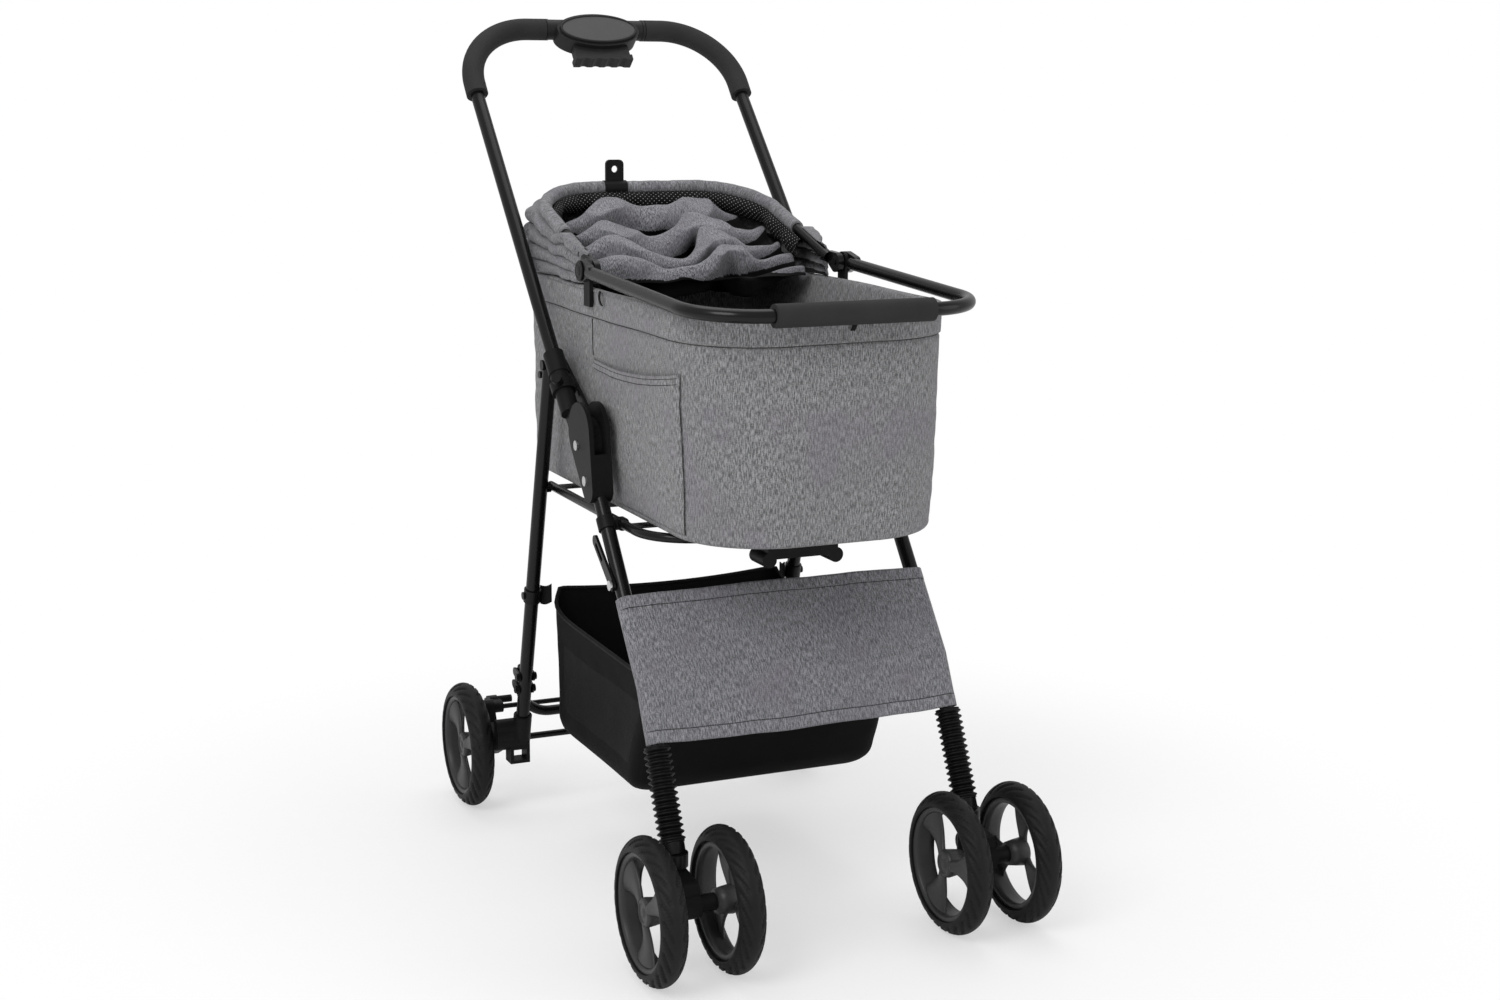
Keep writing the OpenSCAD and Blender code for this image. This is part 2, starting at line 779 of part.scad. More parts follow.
// Local frame of the hub: X across, Y up the loop, Z out of its front face
module at_hub() {
  leaning(0, hub_at, loop_lean) children();
}

function oval(w, h) = [for (a = [0 : 6 : 354]) [w / 2 * cos(a), h / 2 * sin(a)]];
oval_drop = 10;
hub_front = 12.5;
hub_back = 9.5;
trigger_t = 13;

module hub_housing() {
  neck = grip_d - 1.5;
  slot_w = trigger_w - 3.2;
  slot_t = trigger_t + 1;
  slot_reach = oval_drop + oval_h / 2;
  color(black_plastic) at_hub()
    difference() {
      union() {
        rotate([0, 90, 0]) cylinder(d = neck, h = hub_w - 1, center = true);
        both() translate([hub_w / 2 - 4, 0, 0]) rotate([0, 90, 0]) cylinder(d = grip_d, h = 3);
        translate([0, -oval_drop, -hub_back]) linear_extrude(height = hub_back + hub_front)
          polygon(oval(oval_w, oval_h));
      }
      rotate([0, 90, 0]) cylinder(d = leg_tube + fit_gap, h = hub_w + 2, center = true);
      translate([-slot_w / 2, -slot_reach - leg_tube / 2, -slot_t / 2])
        cube([slot_w, slot_reach - 1, slot_t]);
    }
}

module hub_cover() {
  color(black_plastic) at_hub()
    translate([0, -oval_drop, hub_front]) linear_extrude(height = 2.5)
      polygon(oval(oval_w - 8, oval_h - 8));
}

module squeeze_trigger() {
  lip = -oval_drop - oval_h / 2 - trigger_travel - 1.5;
  low = lip - 7.5;
  top = -leg_tube / 2 - 1.5 - trigger_travel;
  color(black_plastic) at_hub()
    difference() {
      union() {
        translate([-trigger_w / 2 + 2, low + 3, -trigger_t / 2])
          cube([trigger_w - 4, top - low - 3, trigger_t]);
        translate([-trigger_w / 2, low, -8]) cube([trigger_w, lip - low, 16]);
      }
      for (k = [-1.5 : 1 : 1.5])
        translate([k * trigger_w / 4.6, low - 7, -10]) cylinder(r = 8.5, h = 20);
    }
}

// ---------- rear frame ----------

module rear_leg(s) {
  color(black_paint) side(s)
    difference() {
      union() {
        leaning(leg_x, rear_pivot, 180 - rear_lean) rotate([-90, 0, 0])
          linear_extrude(height = rear_leg_len) ring(leg_tube, tube_wall);
        translate([leg_x, rear_pivot[0], rear_pivot[1]]) sphere(d = leg_tube);
        leaning(leg_x, rear_pivot, 180 - rear_lean) bar_y(leg_tube - 1, 0, 12);
      }
      cross_pin(rear_pivot, pin_d + run_gap, shell_in, leg_x + 20);
    }
}

module rear_cross_tube() {
  drop = (rear_cross_z - rear_cross_low) / cos(rear_lean);
  color(black_paint)
    leaning(0, rear_at(rear_cross_z), 180 - rear_lean) translate([0, 0, rear_cross_back])
      u_tube(leg_x, 0, drop, rear_cross_r, cross_d);
}

module rear_fittings() {
  face = leg_tube / 2;
  cheek = 2;
  head_d = 9;
  tube_off = rear_cross_back * [cos(rear_lean), sin(rear_lean)];
  color(black_paint) both() {
    for (z = [rear_cross_z - 6, rear_cross_z - 22], k = [0, 1])
      translate([leg_x, 0, 0]) mirror([k, 0, 0]) {
        side_plate(face, face + cheek) link(rear_at(z), 6, rear_at(z) + tube_off, 5);
        cross_pin(rear_at(z), head_d, face + cheek - 1, face + cheek + 2.5);
        cross_pin(rear_at(z) + tube_off, head_d, cross_d / 2 + 0.05, face + 1);
      }
    difference() {
      leaning(leg_x, rear_at(basket_bracket_z), 180 - rear_lean) bar_y(leg_tube + 4, -8, 8);
      leaning(leg_x, rear_at(basket_bracket_z), 180 - rear_lean) bar_y(leg_tube + fit_gap, -9, 9);
    }
    cross_pin(rear_at(basket_bracket_z), head_d, leg_x + face + 1, leg_x + face + 4);
  }
}

module rear_axle() {
  end_x = rear_track / 2 + 6;
  color(steel) cross_pin(rear_axle_at, axle_d, -end_x, end_x);
}

module wheel_housing(s) {
  socket_d = leg_tube + 6;
  plate_out = rear_track / 2 - tyre_w / 2 - 3;
  plate_in = plate_out - housing_t;
  foot = rear_at(rear_leg_end_z);
  color(black_plastic) side(s)
    difference() {
      union() {
        leaning(leg_x, rear_pivot, 180 - rear_lean)
          bar_y(socket_d, rear_leg_len - 31, rear_leg_len + 5);
        side_plate(leg_x, plate_out) link(foot + [-1, 16], 9, foot + [2, -2], 12);
        side_plate(plate_in, plate_out) {
          link(foot + [4, 6], 15, rear_axle_at, 16);
          link(rear_axle_at, 14, brake_at, 10);
        }
        cross_pin(rear_axle_at, 20, plate_in, rear_track / 2 - tyre_w / 2 - 0.4);
        difference() {
          translate([leg_x - 8, foot[0] - 9, foot[1] - 30]) cube([24, 20, 26]);
          translate([leg_x - 4, foot[0] - 20, foot[1] - 26]) cube([16, 40, 13]);
        }
      }
      leaning(leg_x, rear_pivot, 180 - rear_lean) bar_y(leg_tube + fit_gap, 0, rear_leg_len + 0.1);
      cross_pin(rear_axle_at, axle_d, 0, rear_track);
      cross_pin(brake_at, rod_d + run_gap, 0, rear_track);
    }
}

module brake_rod() {
  end_x = rear_track / 2 - tyre_w / 2 - 4;
  color(black_paint) cross_pin(brake_at, rod_d, -end_x, end_x);
}

module brake_pedals() {
  x1 = rear_track / 2 - tyre_w / 2 - 3 - housing_t - 0.4;
  color(black_plastic) both()
    difference() {
      union() {
        side_plate(x1 - 12, x1) link(brake_at, 7, brake_at + [24, 3], 5);
        side_plate(x1 - 28, x1) link(brake_at + [14, 5], 4.5, brake_at + [32, -1], 4);
      }
      cross_pin(brake_at, rod_d, x1 - 13, x1 + 1);
    }
}

// ---------- wheels ----------

// Wheel parts turn about the X axis through their middle; +X is the outer face
module rim() {
  rim_w = tyre_w - 5;
  band_r = rim_d / 2 - rim_band;
  color(rim_grey) rotate([0, 90, 0])
    difference() {
      union() {
        rotate_extrude() translate([band_r, -rim_w / 2]) square([rim_band, rim_w]);
        for (k = [0 : spoke_count - 1]) rotate([0, 0, k * 360 / spoke_count + 90])
          translate([0, 0, -5]) linear_extrude(height = 10) polygon([
            [0, -hub_d / 2 + 3],
            [band_r + 1, -spoke_w / 2],
            [band_r + 1, spoke_w / 2],
            [0, hub_d / 2 - 3]
          ]);
        translate([0, 0, -tyre_w / 2 + 0.2]) cylinder(d = hub_d, h = tyre_w - 3);
      }
      translate([0, 0, -tyre_w]) cylinder(d = axle_d + run_gap, h = tyre_w + 7);
    }
}

module tyre() {
  color(black_paint) rotate([0, 90, 0])
    rotate_extrude()
      intersection() {
        translate([rim_d / 2 + 0.05, -tyre_w / 2]) square([wheel_r, tyre_w]);
        union() {
          translate([wheel_r - tyre_w / 2, 0]) circle(d = tyre_w);
          translate([rim_d / 2 - 5, -tyre_w / 2]) square([wheel_r - tyre_w / 2 - rim_d / 2 + 5, tyre_w]);
        }
      }
}

module on_rear_axle(s) {
  side(s) translate([rear_track / 2, rear_axle_at[0], rear_axle_at[1]]) children();
}

// A caster wheel: s picks the caster, o is 1 for its outer wheel and -1 for its inner one
module on_caster(s, o) {
  side(s) translate([leg_x, swivel_y - trail, wheel_r]) side(o)
    translate([twin_spread / 2, 0, 0]) children();
}

// ---------- sprung casters ----------

module strut(s) {
  color(black_paint) side(s) {
    leaning(leg_x, front_bend, 180 + strut_lean) {
      bar_y(strut_d, strut_top, cup_at + 1);
      bar_y(swivel_cup_d - 2, cup_at, cup_at + 12);
    }
    translate([leg_x, swivel_y, swivel_z]) cylinder(d = swivel_cup_d, h = 14);
    translate([leg_x, swivel_y, wheel_r - 8]) cylinder(d = stud_d, h = swivel_z - wheel_r + 9);
  }
}

// Zigzag wall of the bellows from end to end, as [radius, distance] pairs
function folds(r, y0, y1) = [
  for (i = [0 : 2 * bellows_folds]) [
    i % 2 == 0 ? r - fold_depth : r,
    y0 + (y1 - y0) * i / (2 * bellows_folds)
  ]
];

module bellows(s) {
  y0 = bellows_top;
  y1 = cup_at - seat_gap;
  wall = 1;
  outer = folds(bellows_d / 2, y0, y1);
  inner = folds(bellows_d / 2 - wall, y0, y1);
  neck_r = leg_tube / 2 + seat_gap;
  color(black_plastic) side(s)
    leaning(leg_x, front_bend, 180 + strut_lean) rotate([-90, 0, 0]) {
      rotate_extrude() polygon(concat(outer, [for (i = [len(inner) - 1 : -1 : 0]) inner[i]]));
      rotate_extrude() translate([neck_r, y0]) square([bellows_d / 2 - fold_depth - neck_r, 1.5]);
    }
}

module spring(s) {
  color(steel) side(s)
    leaning(leg_x, front_bend, 180 + strut_lean) rotate([-90, 0, 0])
      translate([0, 0, lower_len + seat_gap])
        linear_extrude(height = cup_at - lower_len - 2 * seat_gap)
          ring(strut_d + 5, 2.2);
}

module caster_yoke(s) {
  top = swivel_z - seat_gap;
  low = wheel_r - 12;
  axle = [swivel_y - trail, wheel_r];
  color(black_plastic) side(s)
    difference() {
      union() {
        translate([leg_x, swivel_y, low]) cylinder(d = stud_d + 12, h = top - low);
        side_plate(leg_x - yoke_w / 2, leg_x + yoke_w / 2) {
          link(axle, 14, [swivel_y, wheel_r + 6], 10);
          link(axle + [2, 14], 10, [swivel_y, top - 8], 7);
        }
        cross_pin(axle, axle_d, leg_x - twin_spread / 2 - 5, leg_x + twin_spread / 2 + 5);
        cross_pin(axle, 18, leg_x - twin_spread / 2 + tyre_w / 2 + 0.3,
          leg_x + twin_spread / 2 - tyre_w / 2 - 0.3);
      }
      translate([leg_x, swivel_y, wheel_r - 8.2]) cylinder(d = stud_d + run_gap, h = 100);
    }
}

// ---------- nodes ----------

front_leg(-1);  // front_leg_left
front_leg(1);  // front_leg_right
latch_shell(-1);  // latch_shell_left
latch_shell(1);  // latch_shell_right
rear_pivot_plates();
frame_rivets();
seat_rail();
rail_brackets();
front_cross_tube();
front_panel();
storage_basket();
fold_hook();
cabin_shell();
cabin_board();
cabin_cushion();
cabin_knuckles();
bumper_bar();
bumper_sleeve();
canopy_hoop();
canopy_fabric();
hanging_tab();
handle_tube();
handle_arm(-1);  // handle_arm_left
handle_arm(1);  // handle_arm_right
grip(-1);  // grip_left
grip(1);  // grip_right
hub_housing();
hub_cover();
squeeze_trigger();
latch_slider(-1);  // latch_slider_left
latch_slider(1);  // latch_slider_right
rear_leg(-1);  // rear_leg_left
rear_leg(1);  // rear_leg_right
rear_cross_tube();
rear_fittings();
rear_axle();
wheel_housing(-1);  // wheel_housing_left
wheel_housing(1);  // wheel_housing_right
brake_rod();
brake_pedals();
on_rear_axle(-1) rim();  // rear_rim_left
on_rear_axle(1) rim();  // rear_rim_right
on_rear_axle(-1) tyre();  // rear_tyre_left
on_rear_axle(1) tyre();  // rear_tyre_right
strut(-1);  // strut_left
strut(1);  // strut_right
bellows(-1);  // bellows_left
bellows(1);  // bellows_right
spring(-1);  // spring_left
spring(1);  // spring_right
caster_yoke(-1);  // caster_yoke_left
caster_yoke(1);  // caster_yoke_right
on_caster(-1, 1) rim();  // front_rim_left_outer
on_caster(-1, -1) rim();  // front_rim_left_inner
on_caster(1, -1) rim();  // front_rim_right_inner
on_caster(1, 1) rim();  // front_rim_right_outer
on_caster(-1, 1) tyre();  // front_tyre_left_outer
on_caster(-1, -1) tyre();  // front_tyre_left_inner
on_caster(1, -1) tyre();  // front_tyre_right_inner
on_caster(1, 1) tyre();  // front_tyre_right_outer
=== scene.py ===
import math

import bmesh
import bpy
import numpy as np

from mathutils import Matrix, Vector


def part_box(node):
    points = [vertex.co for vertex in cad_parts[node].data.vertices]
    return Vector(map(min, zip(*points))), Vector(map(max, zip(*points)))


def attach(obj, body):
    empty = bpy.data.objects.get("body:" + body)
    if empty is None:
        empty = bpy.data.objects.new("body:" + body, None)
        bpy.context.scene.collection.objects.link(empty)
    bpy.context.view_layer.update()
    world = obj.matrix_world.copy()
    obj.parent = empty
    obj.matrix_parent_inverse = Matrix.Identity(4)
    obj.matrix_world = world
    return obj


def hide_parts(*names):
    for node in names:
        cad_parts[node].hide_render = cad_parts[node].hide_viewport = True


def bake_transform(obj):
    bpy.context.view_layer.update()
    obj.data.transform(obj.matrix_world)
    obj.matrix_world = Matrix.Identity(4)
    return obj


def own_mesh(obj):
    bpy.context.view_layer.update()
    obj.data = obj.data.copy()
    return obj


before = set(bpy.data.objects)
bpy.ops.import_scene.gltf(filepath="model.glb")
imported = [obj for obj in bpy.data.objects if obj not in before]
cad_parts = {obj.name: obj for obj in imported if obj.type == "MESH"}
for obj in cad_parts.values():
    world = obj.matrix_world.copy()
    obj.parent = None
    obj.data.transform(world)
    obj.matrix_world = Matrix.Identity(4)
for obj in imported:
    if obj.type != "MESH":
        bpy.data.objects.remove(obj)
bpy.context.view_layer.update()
print("frame loaded")

stage = dict(
    eye=(-0.9456, -2.1736, 0.8909),   # camera place, metres
    turn=-24.3, tilt=11.4, roll=0.4,  # camera angles, degrees
    lens=51.9,
    worldPower=0.62, keyPower=46, fillPower=16, topPower=24,
    floorColour=(0.92, 0.92, 0.92, 1),
)


def unit(v):
    return v / np.maximum(np.linalg.norm(v, axis=-1, keepdims=True), 1e-12)


def smooth(x, low, high):
    # Smoothstep: 0 below low, 1 above high, 3t^2 - 2t^3 between
    t = np.clip((x - low) / (high - low), 0, 1)
    return t * t * (3 - 2 * t)


def ripple(p, seed, size, octaves=3):
    # Soft noise at points p: sines along random directions, each octave 1.9 times finer and 0.55 as tall
    rng = np.random.default_rng(seed)
    total = np.zeros(p.shape[:-1])
    for octave in range(octaves):
        directions = unit(rng.normal(size=(6, 3)))
        phases = rng.uniform(0, 2 * np.pi, 6)
        angle = p @ directions.T * (2 * np.pi * 1.9 ** octave / size) + phases
        total = total + 0.55 ** octave * np.sin(angle).mean(-1)
    return total


def lean(degrees):
    # Unit vector in the side plane that leans back from vertical
    return np.array([0.0, math.sin(math.radians(degrees)), math.cos(math.radians(degrees))])


def patch(points, loopU=False, loopV=False, flip=False, slot=0, uv=None):
    # A grid of points as quads, with a map in metres along the grid's middle row and column
    nu, nv = points.shape[:2]
    i, j = np.meshgrid(np.arange(nu if loopU else nu - 1), np.arange(nv if loopV else nv - 1), indexing="ij")
    i2, j2 = (i + 1) % nu, (j + 1) % nv
    faces = np.stack([i * nv + j, i2 * nv + j, i2 * nv + j2, i * nv + j2], -1).reshape(-1, 4)
    if uv is None:
        closedU = np.concatenate([points, points[:1]]) if loopU else points
        closedV = np.concatenate([points, points[:, :1]], 1) if loopV else points
        du = np.linalg.norm(np.diff(closedU, axis=0), axis=-1).max(1)
        dv = np.linalg.norm(np.diff(closedV, axis=1), axis=-1).max(0)
        uv = np.stack(np.meshgrid(np.append(0, np.cumsum(du)), np.append(0, np.cumsum(dv)), indexing="ij"), -1)
    corner = np.stack([uv[i, j], uv[i + 1, j], uv[i + 1, j + 1], uv[i, j + 1]], 2).reshape(-1, 4, 2)
    if flip:
        faces, corner = faces[:, ::-1], corner[:, ::-1]
    return dict(points=points.reshape(-1, 3), faces=faces, uv=corner, slot=slot)


def put(name, data):
    thing = bpy.data.objects.new(name, data)
    bpy.context.scene.collection.objects.link(thing)
    return thing


def piece(name, patches, worn, body, stands=(), weld=1e-5, wall=None):
    # Joins patches into one object of a kind of material, closes their seams and lets it ride on a body
    points, faces, uvs, slots, first = [], [], [], [], 0
    for part in patches:
        points.append(part["points"])
        faces.append(part["faces"] + first)
        uvs.append(part["uv"])
        slots.append(np.broadcast_to(part["slot"], len(part["faces"])))
        first += len(part["points"])
    points, faces = np.concatenate(points), np.concatenate(faces)
    mesh = bpy.data.meshes.new(name)
    mesh.from_pydata(points.tolist(), [], faces.tolist())
    layer = mesh.uv_layers.new(name="cloth")
    layer.data.foreach_set("uv", np.concatenate(uvs).reshape(-1))
    mesh.polygons.foreach_set("material_index", np.concatenate(slots).astype(np.int32))
    mesh.polygons.foreach_set("use_smooth", np.ones(len(faces), dtype=bool))
    shape = bmesh.new()
    shape.from_mesh(mesh)
    bmesh.ops.remove_doubles(shape, verts=shape.verts, dist=weld)
    bmesh.ops.dissolve_degenerate(shape, edges=shape.edges, dist=1e-7)
    bmesh.ops.recalc_face_normals(shape, faces=shape.faces)
    shape.to_mesh(mesh)
    shape.free()
    thing = put(name, mesh)
    for finish in worn:
        mesh.materials.append(finishes[finish])
    if wall:
        solid = thing.modifiers.new("wall", "SOLIDIFY")
        solid.thickness = wall
        solid.offset = 0
    if body:
        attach(thing, body)
    if stands:
        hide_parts(*stands)
    return thing


def tube(path, radius, across, count=20, closed=False, slot=0, squash=1.0, capped=True):
    # A round section carried along a path; across is a direction never parallel to the path
    ahead = np.roll(path, -1, 0) - np.roll(path, 1, 0) if closed else np.gradient(path, axis=0)
    tangent = unit(ahead)
    side = unit(np.cross(tangent, np.asarray(across, float)))
    rise = np.cross(side, tangent)
    turn = np.linspace(0, 2 * np.pi, count, endpoint=False)
    reach = np.broadcast_to(np.asarray(radius, float), (len(path),)) if np.ndim(radius) < 2 else radius
    reach = reach[:, None, None] if np.ndim(reach) == 1 else reach[:, :, None]
    ring = side[:, None] * np.cos(turn)[None, :, None] + rise[:, None] * np.sin(turn)[None, :, None] * squash
    points = path[:, None] + ring * reach
    patches = [patch(points, loopU=closed, loopV=True, slot=slot)]
    if not closed and capped:
        for end in (0, -1):
            shrink = np.linspace(1, 0, 4)[:, None, None]
            patches.append(patch(path[end] + (points[end] - path[end])[None] * shrink, loopV=True, slot=slot))
    return patches


def lathe(profile, centre, axis, count=96, slot=0, closed=False):
    # A profile of (distance along axis, radius) turned about the axis through centre
    axis = unit(np.asarray(axis, float))
    side = unit(np.cross(axis, [0.123, 0.9, 0.31]))
    rise = np.cross(axis, side)
    turn = np.linspace(0, 2 * np.pi, count, endpoint=False)
    profile = np.asarray(profile, float)
    ring = np.cos(turn)[:, None] * side + np.sin(turn)[:, None] * rise
    points = np.asarray(centre) + profile[None, :, :1] * axis + profile[None, :, 1:] * ring[:, None]
    return [patch(points, loopU=True, loopV=closed, slot=slot)]


class Wire:
    # A socket that arithmetic turns into Math nodes
    def __init__(self, shop, socket):
        self.shop = shop
        self.socket = socket


for mark, operation in dict(add="ADD", sub="SUBTRACT", mul="MULTIPLY", truediv="DIVIDE", pow="POWER").items():
    setattr(Wire, f"__{mark}__", lambda self, other, kind=operation: self.shop.maths(kind, self, other))
    setattr(Wire, f"__r{mark}__", lambda self, other, kind=operation: self.shop.maths(kind, other, self))


class Shop:
    # One material, or the world, being built
    def __init__(self, name, finish=None):
        self.finish = finish or bpy.data.materials.new(name)
        self.finish.use_nodes = True
        self.nodes = self.finish.node_tree.nodes
        self.links = self.finish.node_tree.links
        self.nodes.clear()

    def add(self, kind, settings=None, feeds=None, out=0):
        node = self.nodes.new(kind)
        for key, value in (settings or {}).items():
            setattr(node, key, value)
        for key, value in (feeds or {}).items():
            if isinstance(value, Wire):
                self.links.new(value.socket, node.inputs[key])
            else:
                node.inputs[key].default_value = value
        return Wire(self, node.outputs[out]) if len(node.outputs) else node

    def maths(self, operation, *values):
        return self.add("ShaderNodeMath", {"operation": operation}, dict(enumerate(values)))

    def where(self, cloth):
        if cloth:
            return self.add("ShaderNodeUVMap", {"uv_map": "cloth"})
        return self.add("ShaderNodeTexCoord", out="Object")

    def scaled(self, place, scale, turn=(0, 0, 0)):
        return self.add("ShaderNodeMapping", {}, {"Vector": place, "Scale": scale, "Rotation": turn})

    def noise(self, place, scale, detail=2.0, rough=0.5):
        feeds = {"Vector": place, "Scale": scale, "Detail": detail, "Roughness": rough}
        return self.add("ShaderNodeTexNoise", {}, feeds)

    def band(self, value, low, high):
        return self.add("ShaderNodeMapRange", {"interpolation_type": "SMOOTHSTEP"},
                        {"Value": value, "From Min": low, "From Max": high})

    def blend(self, factor, a, b):
        return self.add("ShaderNodeMix", {"data_type": "RGBA"}, {0: factor, 6: a, 7: b}, out=2)

    def split(self, vector, axis):
        return self.add("ShaderNodeSeparateXYZ", {}, {0: vector}, out=axis)

    def weave(self, place, pitch):
        # Threads crossing at a pitch in metres: the sines of both map directions, multiplied
        threads = [self.maths("SINE", self.split(place, axis) * (2 * math.pi / pitch)) for axis in (0, 1)]
        return threads[0] * threads[1]

    def bump(self, height, strength, distance):
        return self.add("ShaderNodeBump", {}, {"Height": height, "Strength": strength, "Distance": distance})

    def close(self, **sockets):
        shader = self.add("ShaderNodeBsdfPrincipled", {}, {k.replace("_", " "): v for k, v in sockets.items()})
        self.add("ShaderNodeOutputMaterial", {}, {"Surface": shader})
        return self.finish


def grey(value, tint=0.0):
    return (value, value, value * (1 + tint), 1)


def paint(name, look):
    shop = Shop(name)
    place = shop.where(False)
    cloud = shop.noise(place, 18, 3)
    peel = shop.noise(place, 420, 1)
    wear = shop.band(shop.noise(place, 55, 5, 0.7), 0.66, 0.74)
    colour = shop.blend(cloud, grey(look["dark"]), grey(look["light"]))
    colour = shop.blend(wear * 0.35, colour, grey(look["light"] * 2.2))
    return shop.close(Base_Color=colour, Roughness=look["rough"] + 0.10 * cloud + 0.12 * wear,
                      Coat_Weight=look["coat"], Coat_Roughness=0.12, Specular_IOR_Level=0.16,
                      Normal=shop.bump(peel, look["peel"], 0.0006))


def moulded(name, look):
    shop = Shop(name)
    place = shop.where(False)
    grain = shop.noise(place, look["grain"], 2, 0.6)
    cloud = shop.noise(place, 24, 3)
    scuff = shop.band(shop.noise(place, 90, 5, 0.75), 0.62, 0.72)
    colour = shop.blend(cloud, grey(look["dark"]), grey(look["light"]))
    colour = shop.blend(scuff * 0.3, colour, grey(look["light"] * 1.9))
    return shop.close(Base_Color=colour, Roughness=look["rough"] + 0.12 * grain, Specular_IOR_Level=look["shine"],
                      Normal=shop.bump(grain, look["relief"], 0.0006))


def heather(name, look):
    # Woven cloth: upright streaks of pale and dark yarn, crossed by faint weft, under soft violet clouds
    shop = Shop(name)
    place = shop.where(True)
    warp = shop.noise(shop.scaled(place, (1050, 165, 700)), 1.0, 2, 0.65)
    weft = shop.noise(shop.scaled(place, (300, 1300, 700)), 1.0, 2, 0.6)
    slub = shop.noise(shop.scaled(place, (620, 80, 200)), 1.0, 2, 0.6)
    cloud = shop.noise(place, 9, 3)
    hue = shop.noise(place, 13, 2)
    yarn = shop.band(warp * 0.54 + weft * 0.22 + slub * 0.24, 0.41, 0.60)
    colour = shop.blend(yarn, grey(look["dark"], look["tint"]), grey(look["light"], look["tint"]))
    colour = shop.blend(shop.band(cloud, 0.3, 0.7) * 0.25, colour, grey(look["shade"], look["tint"]))
    violet = (look["shade"] * 1.08, look["shade"] * 0.96, look["shade"] * 1.16, 1)
    colour = shop.blend(shop.band(hue, 0.48, 0.66) * 0.35, colour, violet)
    relief = shop.weave(place, look["yarn"]) * 0.5 + warp * 0.8 + weft * 0.6
    return shop.close(Base_Color=colour, Roughness=0.86 + 0.1 * weft, Sheen_Weight=0.12, Sheen_Roughness=0.5,
                      Specular_IOR_Level=0.2, Normal=shop.bump(relief, look["relief"], 0.0006))


def blackCloth(name, look):
    shop = Shop(name)
    place = shop.where(look.get("mapped", True))
    weave = shop.weave(place, look["yarn"])
    cloud = shop.noise(place, 14, 4)
    fuzz = shop.noise(place, 650, 2)
    mottle = shop.band(cloud * 0.6 + fuzz * 0.4, 0.35, 0.68)
    colour = shop.blend(mottle, grey(look["dark"]), grey(look["light"]))
    return shop.close(Base_Color=colour, Roughness=look["rough"] + 0.1 * fuzz,
                      Sheen_Weight=look.get("sheen", 0.02), Sheen_Roughness=0.45, Specular_IOR_Level=0.14,
                      Normal=shop.bump(weave * 0.5 + fuzz, look["relief"], 0.0005))


def meshCloth(name, look):
    # Knitted net: round holes in staggered rows, in a tone of their own; with open at 0 they stay shut, so on the
    # canopy net their pale tone is painted light for the backdrop seen through them
    shop = Shop(name)
    place = shop.where(True)
    x = shop.split(place, 0)
    y = shop.split(place, 1)
    k = 2 * math.pi / look["pitch"]
    rows = shop.maths("COSINE", (x + y) * k) + shop.maths("COSINE", (x - y) * k)
    hole = shop.band(rows, look.get("low", 0.5), look.get("high", 1.2))
    fuzz = shop.noise(place, 700, 2)
    colour = shop.blend(hole, grey(look["light"]), grey(look["dark"]))
    colour = shop.blend(fuzz * 0.3, colour, grey(look["light"] * 1.4))
    return shop.close(Base_Color=colour, Roughness=0.55 + 0.3 * fuzz, Specular_IOR_Level=0.14,
                      Alpha=1 - hole * look["open"], Normal=shop.bump(1 - hole, 0.6, 0.0006))


def metal(name, look):
    shop = Shop(name)
    place = shop.where(False)
    streak = shop.noise(shop.scaled(place, (90, 900, 900)), 1.0, 3)
    colour = shop.blend(streak, grey(look["dark"]), grey(look["light"]))
    return shop.close(Base_Color=colour, Metallic=1.0, Roughness=look["rough"] + 0.12 * streak,
                      Normal=shop.bump(streak, 0.15, 0.0003))


